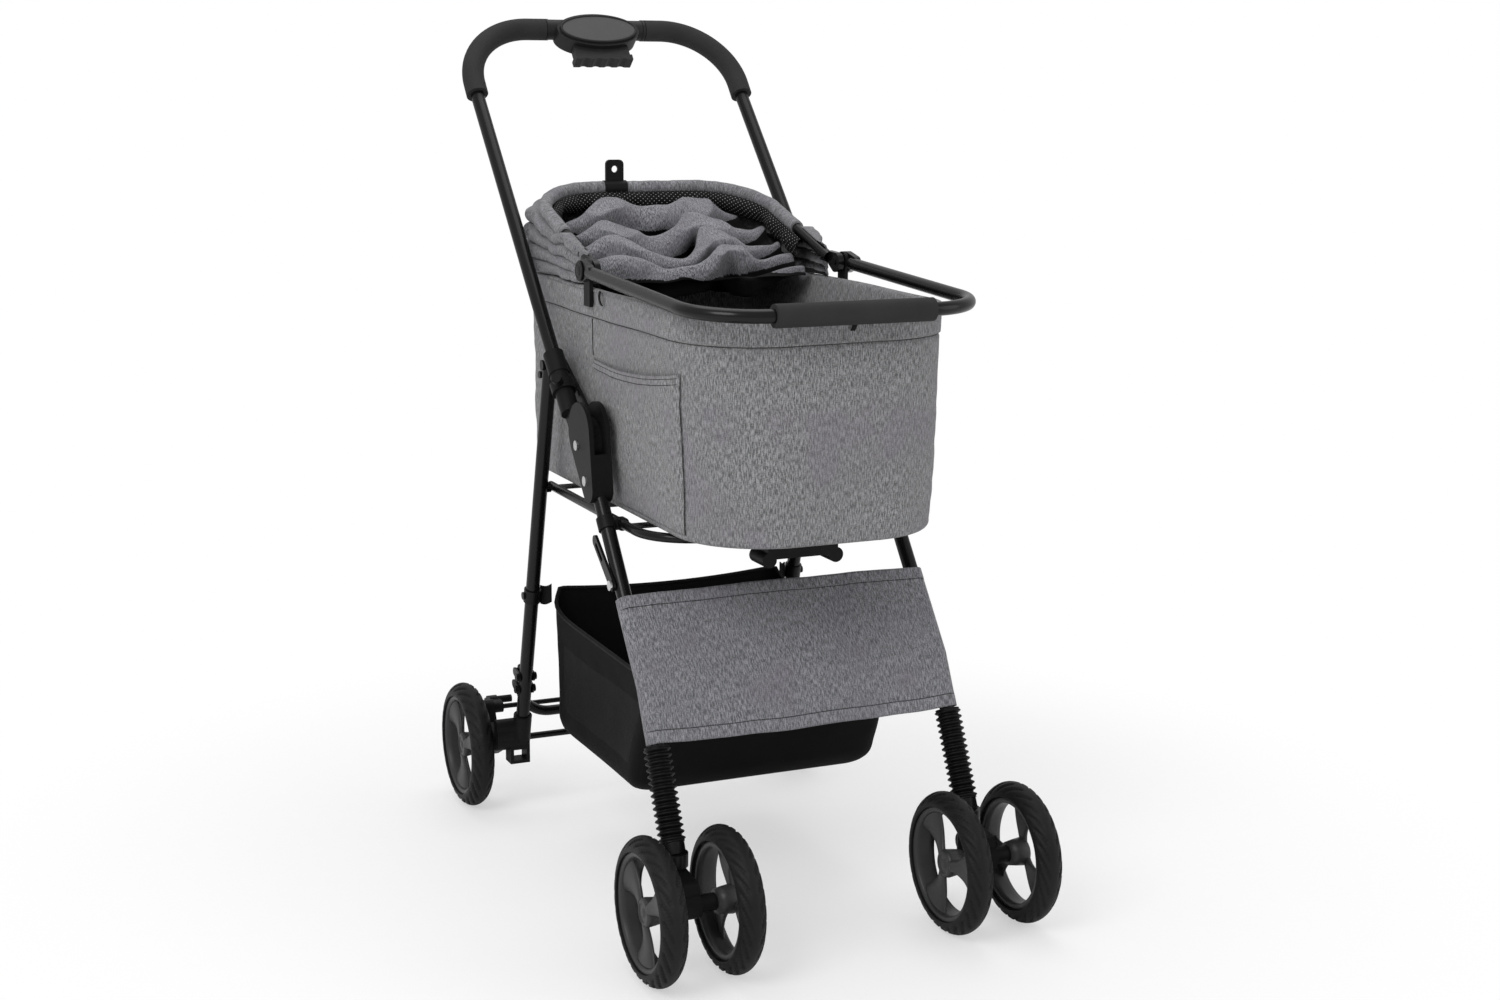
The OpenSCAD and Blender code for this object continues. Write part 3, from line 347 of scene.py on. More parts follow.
looks = {
    paint: dict(
        tubePaint=dict(dark=0.003, light=0.006, rough=0.22, coat=0.16, peel=0.08),
        rodPaint=dict(dark=0.003, light=0.006, rough=0.30, coat=0.05, peel=0.12),
    ),
    moulded: dict(
        framePlastic=dict(dark=0.005, light=0.011, rough=0.36, grain=700, relief=0.25, shine=0.10),
        hubPlastic=dict(dark=0.010, light=0.018, rough=0.42, grain=900, relief=0.30, shine=0.20),
        hubFace=dict(dark=0.030, light=0.045, rough=0.38, grain=900, relief=0.20, shine=0.4),
        gripFoam=dict(dark=0.016, light=0.028, rough=0.66, grain=1600, relief=0.45, shine=0.2),
        bellowsRubber=dict(dark=0.003, light=0.006, rough=0.36, grain=600, relief=0.2, shine=0.12),
        tyreRubber=dict(dark=0.005, light=0.012, rough=0.48, grain=500, relief=0.5, shine=0.18),
        wheelPlastic=dict(dark=0.023, light=0.042, rough=0.34, grain=800, relief=0.15, shine=0.3),
    ),
    metal: dict(
        steel=dict(dark=0.45, light=0.75, rough=0.22),
    ),
    heather: dict(
        cabinCloth=dict(dark=0.085, light=0.36, shade=0.17, tint=0.03, yarn=0.0011, relief=0.55),
        canopyCloth=dict(dark=0.08, light=0.31, shade=0.14, tint=0.06, yarn=0.0011, relief=0.5),
        panelCloth=dict(dark=0.08, light=0.32, shade=0.15, tint=0.08, yarn=0.0011, relief=0.55),
        # hoodClothPaintedLight is the canopy cloth with darker darks and brighter lights: painted shade and painted
        # highlight streaks on the hood's folds
        hoodClothPaintedLight=dict(dark=0.055, light=0.40, shade=0.11, tint=0.09, yarn=0.0011, relief=0.5),
    ),
    blackCloth: dict(
        pipingCloth=dict(dark=0.04, light=0.09, rough=0.8, yarn=0.0012, relief=0.4),
        # liningAndShadeCloth: the black lining inside the cabin, and painted shade in the canopy's pleat valleys and
        # fold hollows
        liningAndShadeCloth=dict(dark=0.004, light=0.010, rough=0.8, yarn=0.0012, relief=0.4),
        basketCloth=dict(dark=0.0015, light=0.0035, rough=0.75, yarn=0.0010, relief=0.25, sheen=0.0),
        ribbon=dict(dark=0.003, light=0.007, rough=0.6, yarn=0.0008, relief=0.3),
        padCloth=dict(dark=0.006, light=0.014, rough=0.85, yarn=0.0014, relief=0.5, mapped=False),
        # threadAndShadeLine: the stitches, and the painted shade line down the pocket's front edge
        threadAndShadeLine=dict(dark=0.02, light=0.04, rough=0.7, yarn=0.0004, relief=0.3),
    ),
    meshCloth: dict(
        # canopyNet: the holes' tone, given as dark, is painted light, a pale grey for the bright backdrop showing
        # through; the threads are near black
        canopyNet=dict(dark=0.34, light=0.003, pitch=0.0064, open=0.0, low=1.45, high=1.75),
        basketNet=dict(dark=0.0005, light=0.0045, pitch=0.0050, open=0.0),
    ),
}
finishes = {name: make(name, look) for make, group in looks.items() for name, look in group.items()}
print("finishes made:", len(finishes))

wears = dict(
    tubePaint=["front_leg_left", "front_leg_right", "handle_tube", "rear_leg_left", "rear_leg_right",
               "bumper_bar", "canopy_hoop", "seat_rail", "front_cross_tube", "rear_cross_tube", "rear_axle"],
    rodPaint=["rear_pivot_plates", "fold_hook", "rear_fittings", "brake_rod", "strut_left", "strut_right"],
    framePlastic=["latch_shell_left", "latch_shell_right", "rail_brackets", "cabin_knuckles", "hanging_tab",
                  "handle_arm_left", "handle_arm_right", "latch_slider_left", "latch_slider_right",
                  "wheel_housing_left", "wheel_housing_right", "brake_pedals",
                  "caster_yoke_left", "caster_yoke_right"],
    hubPlastic=["hub_housing", "squeeze_trigger"],
    hubFace=["hub_cover"],
    gripFoam=["grip_left", "grip_right", "bumper_sleeve"],
    steel=["frame_rivets", "spring_left", "spring_right"],
    liningAndShadeCloth=["cabin_board"],
)
for finishName, names in wears.items():
    for nodeName in names:
        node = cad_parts[nodeName]
        node.data.materials.clear()
        node.data.materials.append(finishes[finishName])
print("frame nodes finished")


cabin = dict(
    front=0.297, rear=0.252,            # wall distances from the origin
    frontCorner=0.095, rearCorner=0.050,
    floorHalf=0.141, rimHalf=0.150,
    bottom=0.4215, top=0.655,
    seam=0.623,                         # height of the seam under the band
    wall=0.0055, under=0.0062,          # cloth thickness, and how far the floor's edge stands in
)


def planLine(count=1):
    # The plan as one loop from the rear middle, through +X, the front and -X.
    # Each row is s, a, y and the normal, for the point (s * half + a, y)
    rf, rr = cabin["frontCorner"], cabin["rearCorner"]
    yf, yr = -cabin["front"], cabin["rear"]
    n = lambda k: int(k * count)
    t = np.linspace(0, 1, n(9), endpoint=False)
    rearRow = np.stack([t, -t * rr, np.full_like(t, yr), 0 * t, 0 * t + 1], -1)
    q = np.linspace(0, np.pi / 2, n(10), endpoint=False)
    rearArc = np.stack([0 * q + 1, -rr + rr * np.sin(q), yr - rr + rr * np.cos(q), np.sin(q), np.cos(q)], -1)
    t = np.linspace(0, 1, n(46), endpoint=False)
    sideRow = np.stack([0 * t + 1, 0 * t, yr - rr + t * (yf + rf - yr + rr), 0 * t + 1, 0 * t], -1)
    q = np.linspace(0, np.pi / 2, n(26), endpoint=False)
    frontArc = np.stack([0 * q + 1, -rf + rf * np.cos(q), yf + rf - rf * np.sin(q), np.cos(q), -np.sin(q)], -1)
    t = np.linspace(0, 1, n(12), endpoint=False)
    frontRow = np.stack([1 - t, -(1 - t) * rf, 0 * t + yf, 0 * t, 0 * t - 1], -1)
    half = np.concatenate([rearRow, rearArc, sideRow, frontArc, frontRow])
    middle = np.array([[0, 0, yf, 0, -1]])
    mirror = half[1:][::-1] * np.array([-1, -1, 1, -1, 1])
    return np.concatenate([half, middle, mirror])


def halfAt(z):
    share = (z - cabin["bottom"]) / (cabin["top"] - cabin["bottom"])
    return cabin["floorHalf"] + (cabin["rimHalf"] - cabin["floorHalf"]) * share


def cabinWall(plan, z, extra):
    # Points of the wall for plan rows and heights z, extra metres outside the nominal face
    s, a, y, nx, ny = (plan[..., k] for k in range(5))
    x = s * halfAt(z) + a + nx * extra
    return np.stack(np.broadcast_arrays(x, y + ny * extra, z), -1)


def cabinPuff(plan, z):
    # How far the outer cloth stands in or out: a soft belly, slanting creases and fine rumples
    base = cabinWall(plan, z, 0)
    low = smooth(z, cabin["bottom"], cabin["bottom"] + 0.02)
    high = 1 - smooth(z, cabin["seam"] - 0.035, cabin["seam"] - 0.002)
    belly = 0.0014 * np.sin(np.pi * np.clip((z - cabin["bottom"]) / (cabin["seam"] - cabin["bottom"]), 0, 1))
    slant = np.stack([base[..., 0] * 0.4, base[..., 1] + 0.8 * base[..., 2], base[..., 2] * 0.3], -1)
    creases = ripple(slant, 4, 0.09, 2)
    left = smooth(-base[..., 0], 0.09, 0.14)
    rumples = 0.0028 * creases * (0.35 + 0.65 * left) + 0.0008 * ripple(base, 9, 0.035, 2)
    return low * high * (belly + rumples) - 0.0016


planLoop = planLine(3)
planArc = np.append(0, np.cumsum(np.linalg.norm(np.diff(cabinWall(planLoop, 0.6, 0.0), axis=0), axis=-1)))


def drawnIn(points, share):
    # Rows whose share is below 1 are drawn in towards the middle of the plan, so that they close a floor
    centre = np.array([0, (cabin["rear"] - cabin["front"]) / 2, 0])
    flat = np.array([1, 1, 0])
    k = share[None, :, None]
    return np.where(k < 1, centre * flat + (points - centre) * (k * flat + (1 - flat)), points)


def makeCabin():
    zb, zt, seam, wall, under = (cabin[k] for k in ("bottom", "top", "seam", "wall", "under"))
    turn = np.linspace(0, np.pi / 2, 7)
    roll = np.linspace(0, np.pi, 8)
    # Each stretch of the section: heights, how far it stands out, and its share of the plan
    stretches = dict(
        below=(np.full(9, zb + 0.0006), np.full(9, -under), np.linspace(0, 0.93, 9)),
        edge=(zb + 0.0006 + 0.006 * (1 - np.cos(turn)), -under + under * np.sin(turn) - 0.0016, np.ones(7)),
        wall=(np.linspace(zb + 0.008, seam - 0.003, 44), np.zeros(44), np.ones(44)),
        seam=(seam + np.array([-0.0015, -0.0005, 0, 0.0008, 0.0016]),
              np.array([-0.0022, -0.0030, -0.0032, -0.0022, -0.0006]), np.ones(5)),
        band=(np.linspace(seam + 0.003, zt - 0.003, 9), np.zeros(9), np.ones(9)),
        roll=(zt - 0.003 + 0.0034 * np.sin(roll), -0.004 + 0.004 * np.cos(roll), np.ones(8)),
        inside=(np.linspace(zt - 0.006, zb + 0.006, 20), np.linspace(-0.0085, -wall, 20), np.ones(20)),
        floor=(np.full(9, zb + 0.0032), np.full(9, -wall), np.linspace(1, 0, 9)),
    )
    z, extra, share = (np.concatenate(rows) for rows in zip(*stretches.values()))
    ends = dict(zip(stretches, np.cumsum([len(rows[0]) for rows in stretches.values()])))
    plan = planLoop[:, None, :]
    outer, band = slice(ends["edge"], ends["wall"]), slice(ends["seam"], ends["band"])
    puff = np.zeros((len(planLoop), len(z)))
    puff[:, outer] = cabinPuff(plan, z[None, outer])
    bandBase = cabinWall(plan, z[None, band], 0)
    puff[:, band] = -0.0008 + 0.0009 * ripple(bandBase * np.array([1, 1, 0.3]), 12, 0.05, 2)
    points = drawnIn(cabinWall(plan, z[None], extra[None] + puff), share)
    sag = 0.0015 * ripple(points * np.array([1, 1, 0]), 21, 0.22, 2) * smooth(z, zb + 0.05, zt - 0.03)
    points[..., 2] += np.where(np.arange(len(z)) < ends["roll"], sag, 0)
    arc = np.append(planArc, planArc[-1] + 0.01)
    rise = np.append(0, np.cumsum(np.hypot(np.diff(z), np.diff(extra))))
    uv = np.stack(np.meshgrid(arc, rise, indexing="ij"), -1)
    rows = np.arange(len(z) - 1)
    slots = np.where(rows < ends["roll"] + 8, 0, 1)
    slots[ends["wall"] + 1:ends["wall"] + 3] = 2
    body = patch(points, loopU=True, uv=uv, slot=np.tile(slots, len(points)))
    return piece("cabinBody", [body], ["cabinCloth", "liningAndShadeCloth", "pipingCloth"],
                 "frame", ["cabin_shell"], weld=1e-6)


cabinPiece = makeCabin()
print("cabin walls made")


def planAt(arc):
    # Plan rows at distances along the loop
    return np.stack([np.interp(arc, planArc, planLoop[:, k]) for k in range(5)], -1)


pocket = dict(
    start=0.005, end=-0.228,   # where its sides stand along the left wall, metres back from the origin
    low=0.430, high=0.5795, rise=0.0125, sag=0.0075,
    stand=0.0022, hem=0.012, stitches=(0.0035, 0.0095),
    seamLow=0.582,             # where the seam above the pocket's front edge begins
)


def makePocket():
    # Left wall between two places along the loop; the top edge sags between its corners
    left = planLoop[:, 0] * halfAt(0.6) + planLoop[:, 1] < -0.05
    wallY = np.where(left, planLoop[:, 2], 9)
    arcs = [planArc[np.argmin(np.abs(wallY - pocket[k]))] for k in ("end", "start")]
    arc = np.linspace(arcs[0], arcs[1], 110)
    t = (arc - arcs[0]) / (arcs[1] - arcs[0])
    top = pocket["high"] + pocket["rise"] * (1 - t) - pocket["sag"] * np.sin(np.pi * t) ** 0.8
    v = np.linspace(0, 1, 64)
    z = pocket["low"] + (top[:, None] - pocket["low"]) * v
    plan = planAt(arc)[:, None, :]
    edge = smooth(t, 0, 0.03) * (1 - smooth(t, 0.97, 1))
    gape = pocket["stand"] + 0.0035 * (np.sin(np.pi * t)[:, None] ** 2) * smooth(v, 0.55, 1.0)
    stand = 0.0006 + (gape - 0.0006) * edge[:, None] * smooth(v, 0.0, 0.05)
    hem = 0.0007 * smooth(z, top[:, None] - pocket["hem"], top[:, None] - pocket["hem"] + 0.001)
    points = cabinWall(plan, z, cabinPuff(plan, z) + stand + hem)
    uv = np.stack(np.meshgrid(arc, np.zeros(64), indexing="ij"), -1)
    uv[..., 1] = z
    made = piece("sidePocket", [patch(points, uv=uv)], ["cabinCloth"], "frame", wall=0.0010)
    rows = []
    for down in pocket["stitches"]:
        height = top - down
        out = cabinPuff(planAt(arc), height) + 0.0012 + gape[:, -4] * edge
        rows += tube(cabinWall(planAt(arc), height, out), 0.00035, (0, 0, 1), 6)
    # The first line is a seam; the second is a thin dark tube down the pocket's front side edge, painted shade for
    # the shadow beside that edge
    seamAndShadeLines = ((arcs[1] + 0.004, pocket["seamLow"], cabin["seam"] - 0.002, 0.0002),
             (arcs[0] + 0.0006, pocket["low"], top[0], 0.0012))
    for at, low, high, out in seamAndShadeLines:
        line = planAt(np.full(40, at))
        height = np.linspace(low, high, 40)
        rows += tube(cabinWall(line, height, cabinPuff(line, height) + out), 0.0007, (0, 1, 0), 6)
    piece("pocketStitchingAndShade", rows, ["threadAndShadeLine"], "frame")


makePocket()
print("side pocket made")


def ringPath(half, front, rear, corner, count):
    # A rounded rectangle as one loop: straight runs and quarter turns, x across and y back
    q = np.linspace(0, np.pi / 2, count)
    parts = []
    for cx, cy, start in ((half - corner, rear - corner, 0), (corner - half, rear - corner, 1),
                          (corner - half, front + corner, 2), (half - corner, front + corner, 3)):
        a = q + start * np.pi / 2
        parts.append(np.stack([cx + corner * np.cos(a), cy + corner * np.sin(a)], -1))
    loop = np.concatenate(parts)
    closed = np.concatenate([loop, loop[:1]])
    along = np.append(0, np.cumsum(np.linalg.norm(np.diff(closed, axis=0), axis=-1)))
    steps = np.linspace(0, along[-1], 4 * count * 2, endpoint=False)
    return np.stack([np.interp(steps, along, closed[:, k]) for k in range(2)], -1)


basket = dict(
    topHalf=0.1475, lowHalf=0.1455,
    frontTop=-0.1745, frontLow=-0.103, rearTop=0.1585, rearLow=0.155,
    top=0.2900, front=0.2850, low=0.1165,
    bottomRound=0.026, sag=0.005, dip=0.008, sideDip=0.026,
    blendFrom=-0.02, blendTo=0.16,     # a span along y, from the frame to the rear frame
    tabFrom=(0.1470, 0.156, 0.2845), tabTo=(0.1575, 0.1655, 0.2815), tabHigh=0.022,
)


def hangBetween(thing):
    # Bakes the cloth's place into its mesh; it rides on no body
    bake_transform(thing)


def makeBasket():
    # Plan loops stacked by height: narrower at the floor, pulled in between the corners, round at the bottom edge
    base = ringPath(1, -1, 1, 0.15, 22)
    v = np.concatenate([np.linspace(0, 0.16, 10), np.linspace(0.17, 0.86, 34), np.linspace(0.88, 1, 10)])
    w = 1 - v
    front = basket["frontTop"] + (basket["frontLow"] - basket["frontTop"]) * v
    rear = basket["rearTop"] + (basket["rearLow"] - basket["rearTop"]) * v
    half = basket["topHalf"] + (basket["lowHalf"] - basket["topHalf"]) * v
    edge = np.clip((v - 0.86) / 0.14, 0, 1)
    tuck = basket["bottomRound"] * (1 - np.sqrt(np.clip(1 - edge ** 2, 0, 1)))
    x = base[:, None, 0] * (half - tuck * 0.8)
    y = (front + rear) / 2 + base[:, None, 1] * ((rear - front) / 2 - tuck * 0.8)
    back = (y - basket["frontTop"]) / (basket["rearTop"] - basket["frontTop"])
    topEdge = basket["front"] + (basket["top"] - basket["front"]) * back
    z = topEdge * w + basket["low"] * v
    sides = np.abs(base[:, None, 0]) > np.abs(base[:, None, 1])
    along = np.where(sides, base[:, None, 1], base[:, None, 0])
    pull = basket["sag"] * (1 - along ** 2) * np.sin(np.pi * np.clip(v, 0, 1)) ** 0.7
    x = x - np.sign(x) * np.where(sides, pull, 0)
    y = y - np.sign(base[:, None, 1]) * np.where(sides, 0, pull)
    points = np.stack([x, y, z], -1)
    dip = np.where(sides, basket["sideDip"] * (1 - along ** 8), basket["dip"] * (1 - along ** 2))
    points[..., 2] -= dip * np.clip(1 - v / 0.6, 0, 1)
    crease = ripple(points, 31, 0.12, 3) * 0.0026 * smooth(v, 0.05, 0.3) * (1 - smooth(v, 0.9, 1))
    points[..., 0] += np.sign(points[..., 0]) * np.where(sides, crease, 0)
    points[..., 1] += np.sign(base[:, None, 1]) * np.where(sides, 0, crease)
    k = np.linspace(1, 0, 14)[1:, None]
    ring = points[:, -1]
    centre = np.array([0, ring[:, 1].mean(), basket["low"]])
    floor = centre + (ring[:, None] - centre) * k[None]
    inner = k[None, :, 0] * (1 - k[None, :, 0]) * 4
    floor[..., 2] += 0.0012 * ripple(floor, 33, 0.10, 2) * inner + 0.0010
    points = np.concatenate([points, floor], 1)
    rows = np.arange(points.shape[1] - 1)
    slots = np.zeros((len(base), len(rows)), dtype=int)
    sideQuads = np.abs(base[:, 0]) > 0.97
    slots[np.ix_(sideQuads & (np.abs(base[:, 1]) < 0.80), (rows > 14) & (rows < 40))] = 1
    made = piece("storageBasket", [patch(points, loopU=True, slot=slots.reshape(-1))],
                 ["basketCloth", "basketNet"], None, ["storage_basket"], wall=0.0014)
    hangBetween(made)
    hemLine = points[:, 0] + np.array([0, 0, 0.0004])
    hem = piece("basketHem", tube(hemLine, 0.0024, (0, 0, 1), 10, closed=True), ["ribbon"], None)
    hangBetween(hem)
    tabs = []
    for side in (-1, 1):
        start, end = (np.array(basket[k]) * [side, 1, 1] for k in ("tabFrom", "tabTo"))
        s = np.linspace(0, 1, 8)[:, None]
        middle = start + (end - start) * s + np.array([0, 0, -0.002]) * np.sin(np.pi * s)
        high = np.linspace(-0.5, 0.5, 6) * basket["tabHigh"]
        tabs.append(patch(middle[:, None] + np.array([0, 0, 1]) * high[None, :, None]))
    strap = piece("basketTabs", tabs, ["ribbon"], "rear_frame", wall=0.0016)


makeBasket()
print("storage basket made")


panel = dict(
    legHalf=0.168, wrap=0.0098,       # distance of the cloth from the legs' centre lines
    high=0.346, low=0.214, bendAt=0.268,
    upperLean=37.5, lowerLean=25.8, bendY=-0.19911,
    bow=-0.0005, stitches=(0.088, 0.912),   # stitch lines, as shares of the way down
)


def makePanel():
    # v runs down the legs; u runs from behind the left leg, across the front and round the right leg
    r = panel["wrap"]
    q = np.linspace(-0.5 * np.pi * 0.9, np.pi / 2, 14)
    left = np.stack([-panel["legHalf"] - r * np.cos(q), -r * np.sin(q)], -1)
    across = np.linspace(-1, 1, 74)[1:-1]
    front = np.stack([across * panel["legHalf"], -r + panel["bow"] * (1 - across ** 2)], -1)
    right = left[::-1] * np.array([-1, 1])
    section = np.concatenate([left, front, right])
    upper = (panel["high"] - panel["bendAt"]) / math.cos(math.radians(panel["upperLean"]))
    lower = (panel["bendAt"] - panel["low"]) / math.cos(math.radians(panel["lowerLean"]))
    v = np.concatenate([np.linspace(-upper, -0.0101, 34), np.linspace(-0.010, 0.010, 9),
                        np.linspace(0.0101, lower, 24)])
    mix = smooth(v, -0.012, 0.012)
    bend = np.array([panel["bendY"], panel["bendAt"]])
    down1 = -lean(panel["upperLean"])[1:]
    down2 = -lean(panel["lowerLean"])[1:]
    line = bend + np.where(v[:, None] < 0, v[:, None] * down1, v[:, None] * down2)
    angle = np.radians(panel["upperLean"] + (panel["lowerLean"] - panel["upperLean"]) * mix)
    normal = np.stack([np.cos(angle), -np.sin(angle)], -1)
    middle = 1 - np.clip(np.abs(section[:, 0]) / panel["legHalf"], 0, 1) ** 2
    x = section[:, None, 0] + 0 * v[None]
    off = section[:, None, 1] + 0 * v[None]
    flat = np.stack([x, v[None] + 0 * x, 0 * x], -1)
    t = (v - v[0]) / (v[-1] - v[0])
    off = off + 0.0022 * ripple(flat * np.array([1, 0.5, 1]), 41, 0.11, 3) * middle[:, None] * 1.3
    hem = (1 - smooth(t, 0.075, 0.085)) + smooth(t, 0.915, 0.925)
    off = off - 0.0007 * hem[None]
    y = line[None, :, 0] + normal[None, :, 0] * off
    z = line[None, :, 1] + normal[None, :, 1] * off
    waver = 0.0012 * ripple(flat * np.array([1, 0, 0]), 44, 0.09, 2) * smooth(t, 0.5, 1)[None]
    droop = 0.004 * middle[:, None] * (t[None] - 0.4) + waver
    points = np.stack([x, y, z - droop], -1)
    made = piece("frontPanel", [patch(points)], ["panelCloth"],
                 "frame", ["front_panel"], wall=0.0016)
    rows = []
    for share in panel["stitches"]:
        n = int(np.argmin(np.abs(t - share)))
        edge = points[8:-8, n] + np.array([0, -0.0011, 0.0007])
        rows += tube(edge, 0.00032, (0, 0, 1), 6)
    piece("panelStitching", rows, ["threadAndShadeLine"], "frame")


makePanel()
print("front panel made")


hub = dict(lean=40.0, rimHalf=0.0482, rimHigh=0.0202, rimOut=0.0008, rimRadius=0.0016)


def makeHubRim():
    # A raised lip round the hub's bare oval plate
    low, high = (np.array(corner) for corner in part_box("hub_cover"))
    up = lean(hub["lean"])
    out = np.array([0, -up[2], up[1]])
    turn = np.linspace(0, 2 * np.pi, 120, endpoint=False)[:, None]
    across = np.array([1.0, 0, 0])
    oval = across * np.cos(turn) * hub["rimHalf"] + up * np.sin(turn) * hub["rimHigh"]
    line = (low + high) / 2 + oval + out * hub["rimOut"]
    piece("hubRim", tube(line, hub["rimRadius"], tuple(out), 12, closed=True),
          ["hubPlastic"], "handle")


makeHubRim()


def makeLoops():
    # Two short ribbon loops sewn to the cabin's band: where each stands, along which way and facing where
    places = (((0.012, -0.2972, 0.6440), (1, 0, 0), (0, -1, 0)),
              ((-0.1508, -0.030, 0.6470), (0, 1, 0), (-1, 0, 0)))
    s = np.linspace(-1, 1, 12)[:, None, None]
    w = np.linspace(-0.5, 0.5, 5)[None, :, None]
    patches = []
    for place, across, out in places:
        arch = np.array(out) * (0.0012 + 0.0020 * (1 - s ** 2))
        points = place + np.array(across) * (w * 0.005 + s * 0.0022) + np.array([0, 0, 0.0075]) * s + arch
        patches.append(patch(points))
    made = piece("bandLoops", patches, ["ribbon"], "frame", wall=0.0010)


makeLoops()


def makeButtons():
    # A domed button with a ring groove on the outside of each knuckle
    profile = [(0, 0.0), (0, 0.0104), (0.0014, 0.0108), (0.0022, 0.0098), (0.0022, 0.0080), (0.0014, 0.0074),
               (0.0016, 0.0066), (0.0026, 0.0058), (0.0030, 0.0030), (0.0031, 0.0)]
    for name, side in (("left", -1), ("right", 1)):
        centre = (side * canopy["button"], *canopy["knuckle"])
        piece("knuckleButton_" + name, lathe(profile, centre, (side, 0, 0), 64),
              ["hubPlastic"], "frame")


strut = dict(
    half=0.168, lean=25.8, bendY=-0.19911, bendZ=0.268,
    top=0.0611, bottom=0.1585, radius=0.0142, depth=0.0034, bore=0.0094, folds=15,
)


def makeBellows():
    # Round folds along the strut: radius = mean + half depth * shaped cosine
    down = -lean(strut["lean"])
    for name, side in (("left", -1), ("right", 1)):
        s = np.linspace(0, 1, strut["folds"] * 12 + 1)
        wave = np.cos(2 * np.pi * strut["folds"] * s)
        shaped = np.sign(wave) * np.abs(wave) ** 0.8
        r = strut["radius"] - strut["depth"] * (0.5 + 0.5 * shaped)
        r = np.where((s < 0.012) | (s > 0.988), strut["radius"] - strut["depth"] * 0.4, r)
        along = strut["top"] + (strut["bottom"] - strut["top"]) * s
        inner = [(strut["bottom"], strut["bore"]), (strut["top"], strut["bore"])]
        profile = np.concatenate([np.stack([along, r], -1), inner])
        start = np.array([side * strut["half"], strut["bendY"], strut["bendZ"]])
        made = piece("bellowsRubber_" + name, lathe(profile, start, down, 64, closed=True),
                     ["bellowsRubber"], "frame", ["bellows_" + name])
        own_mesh(made)


makeBellows()
print("bellows made")


wheel = dict(radius=0.075, width=0.027, seat=0.0612, blocks=26, cut=0.0019, slant=0.36,
             spokes=3, spokeFrom=0.0125, spokeTo=0.0545)
wheelPlaces = dict(
    rear_left=(-0.217, 0.272, -1, 40), rear_right=(0.217, 0.272, 1, 10),
    left_outer=(-0.209, -0.312, -1, 28), left_inner=(-0.127, -0.312, 1, 75),
    right_inner=(0.127, -0.312, -1, 52), right_outer=(0.209, -0.312, 1, 95),
)   # x, y, the open face's side, and the first spoke's turn in degrees


def makeTyre(label, centre, body, stand):
    # Section angle w runs round the tyre's own section; slanting cuts dip into both shoulders
    u = np.linspace(0, 2 * np.pi, 416, endpoint=False)
    w = np.linspace(-2.55, 2.55, 40)
    rs = wheel["width"] / 2
    x = rs * np.sin(w) * (1 - 0.05 * np.cos(2 * w))
    out = wheel["radius"] - rs + rs * np.cos(w)
    out = np.maximum(out, wheel["seat"] - 0.0012)
    phase = wheel["blocks"] * (u[:, None] + wheel["slant"] * np.abs(w)[None])
    block = 1 - smooth(np.sin(phase), -0.78, -0.42)
    shoulder = smooth(np.abs(w), 0.28, 0.42) * (1 - smooth(np.abs(w), 1.12, 1.30))
    groove = 1 - smooth(np.abs(np.abs(w) - 1.42), 0.0, 0.07)
    cut = wheel["cut"] * block * shoulder[None] + 0.0007 * groove[None]
    dirX, dirR = np.sin(w), np.cos(w)
    px = x[None] - dirX[None] * cut
    pr = out[None] - dirR[None] * cut
    centre = np.asarray(centre)
    points = centre + np.stack([px, pr * np.cos(u)[:, None], pr * np.sin(u)[:, None]], -1)
    piece("tyre_" + label, [patch(points, loopU=True, loopV=True)], ["tyreRubber"], body, [stand])


def makeRim(label, centre, side, body, stand, turn):
    # A dished ring, three broad petals and a stepped hub; side is +1 when the open face looks along +X
    ring = [(-0.0108, 0.0535), (-0.0108, 0.0608), (0.0110, 0.0608), (0.0118, 0.0590), (0.0112, 0.0558),
            (0.0096, 0.0545), (0.0040, 0.0538), (-0.0040, 0.0534)]
    middle = [(-0.0128, 0.0), (-0.0128, 0.0125), (-0.0040, 0.0140), (0.0040, 0.0150), (0.0072, 0.0142),
              (0.0084, 0.0124), (0.0088, 0.0104), (0.0076, 0.0098), (0.0078, 0.0050), (0.0086, 0.0040), (0.0090, 0.0)]
    axis = (side, 0, 0)
    patches = lathe(ring, centre, axis, 128, closed=True) + lathe(middle, centre, axis, 64)
    s = np.linspace(0, 1, 22)
    reach = wheel["spokeFrom"] + (wheel["spokeTo"] - wheel["spokeFrom"]) * s
    halfWidth = 0.0062 + 0.0175 * s ** 1.5
    w = np.linspace(0, 2 * np.pi, 28, endpoint=False)
    across = np.sign(np.cos(w)) * np.abs(np.cos(w)) ** 0.7
    thick = np.sign(np.sin(w)) * np.abs(np.sin(w)) ** 0.8
    dish = 0.0060 - 0.0026 * np.sin(np.pi * s) + 0.0010 * s
    bulge = dish[:, None] + 0.0028 * thick[None] - 0.0016 * (across[None] ** 2) * (0.4 + 0.6 * s[:, None])
    drawn = reach[:, None] - 0.004 * (across ** 2)[None] * s[:, None] ** 3
    for k in range(wheel["spokes"]):
        a = math.radians(turn + 360 * k / wheel["spokes"])
        radial = np.array([0, math.cos(a), math.sin(a)])
        tangent = np.array([0, -math.sin(a), math.cos(a)])
        points = (np.asarray(centre) + radial * drawn[..., None]
                  + tangent * (halfWidth[:, None] * across[None])[..., None]
                  + np.array(axis) * bulge[..., None])
        patches.append(patch(points, loopV=True))
        for end in (0, -1):
            mid = points[end].mean(0)
            shrink = np.linspace(1, 0, 4)[:, None, None]
            patches.append(patch(mid + (points[end] - mid)[None] * shrink, loopV=True))
    piece("rim_" + label, patches, ["wheelPlastic"], body, [stand])


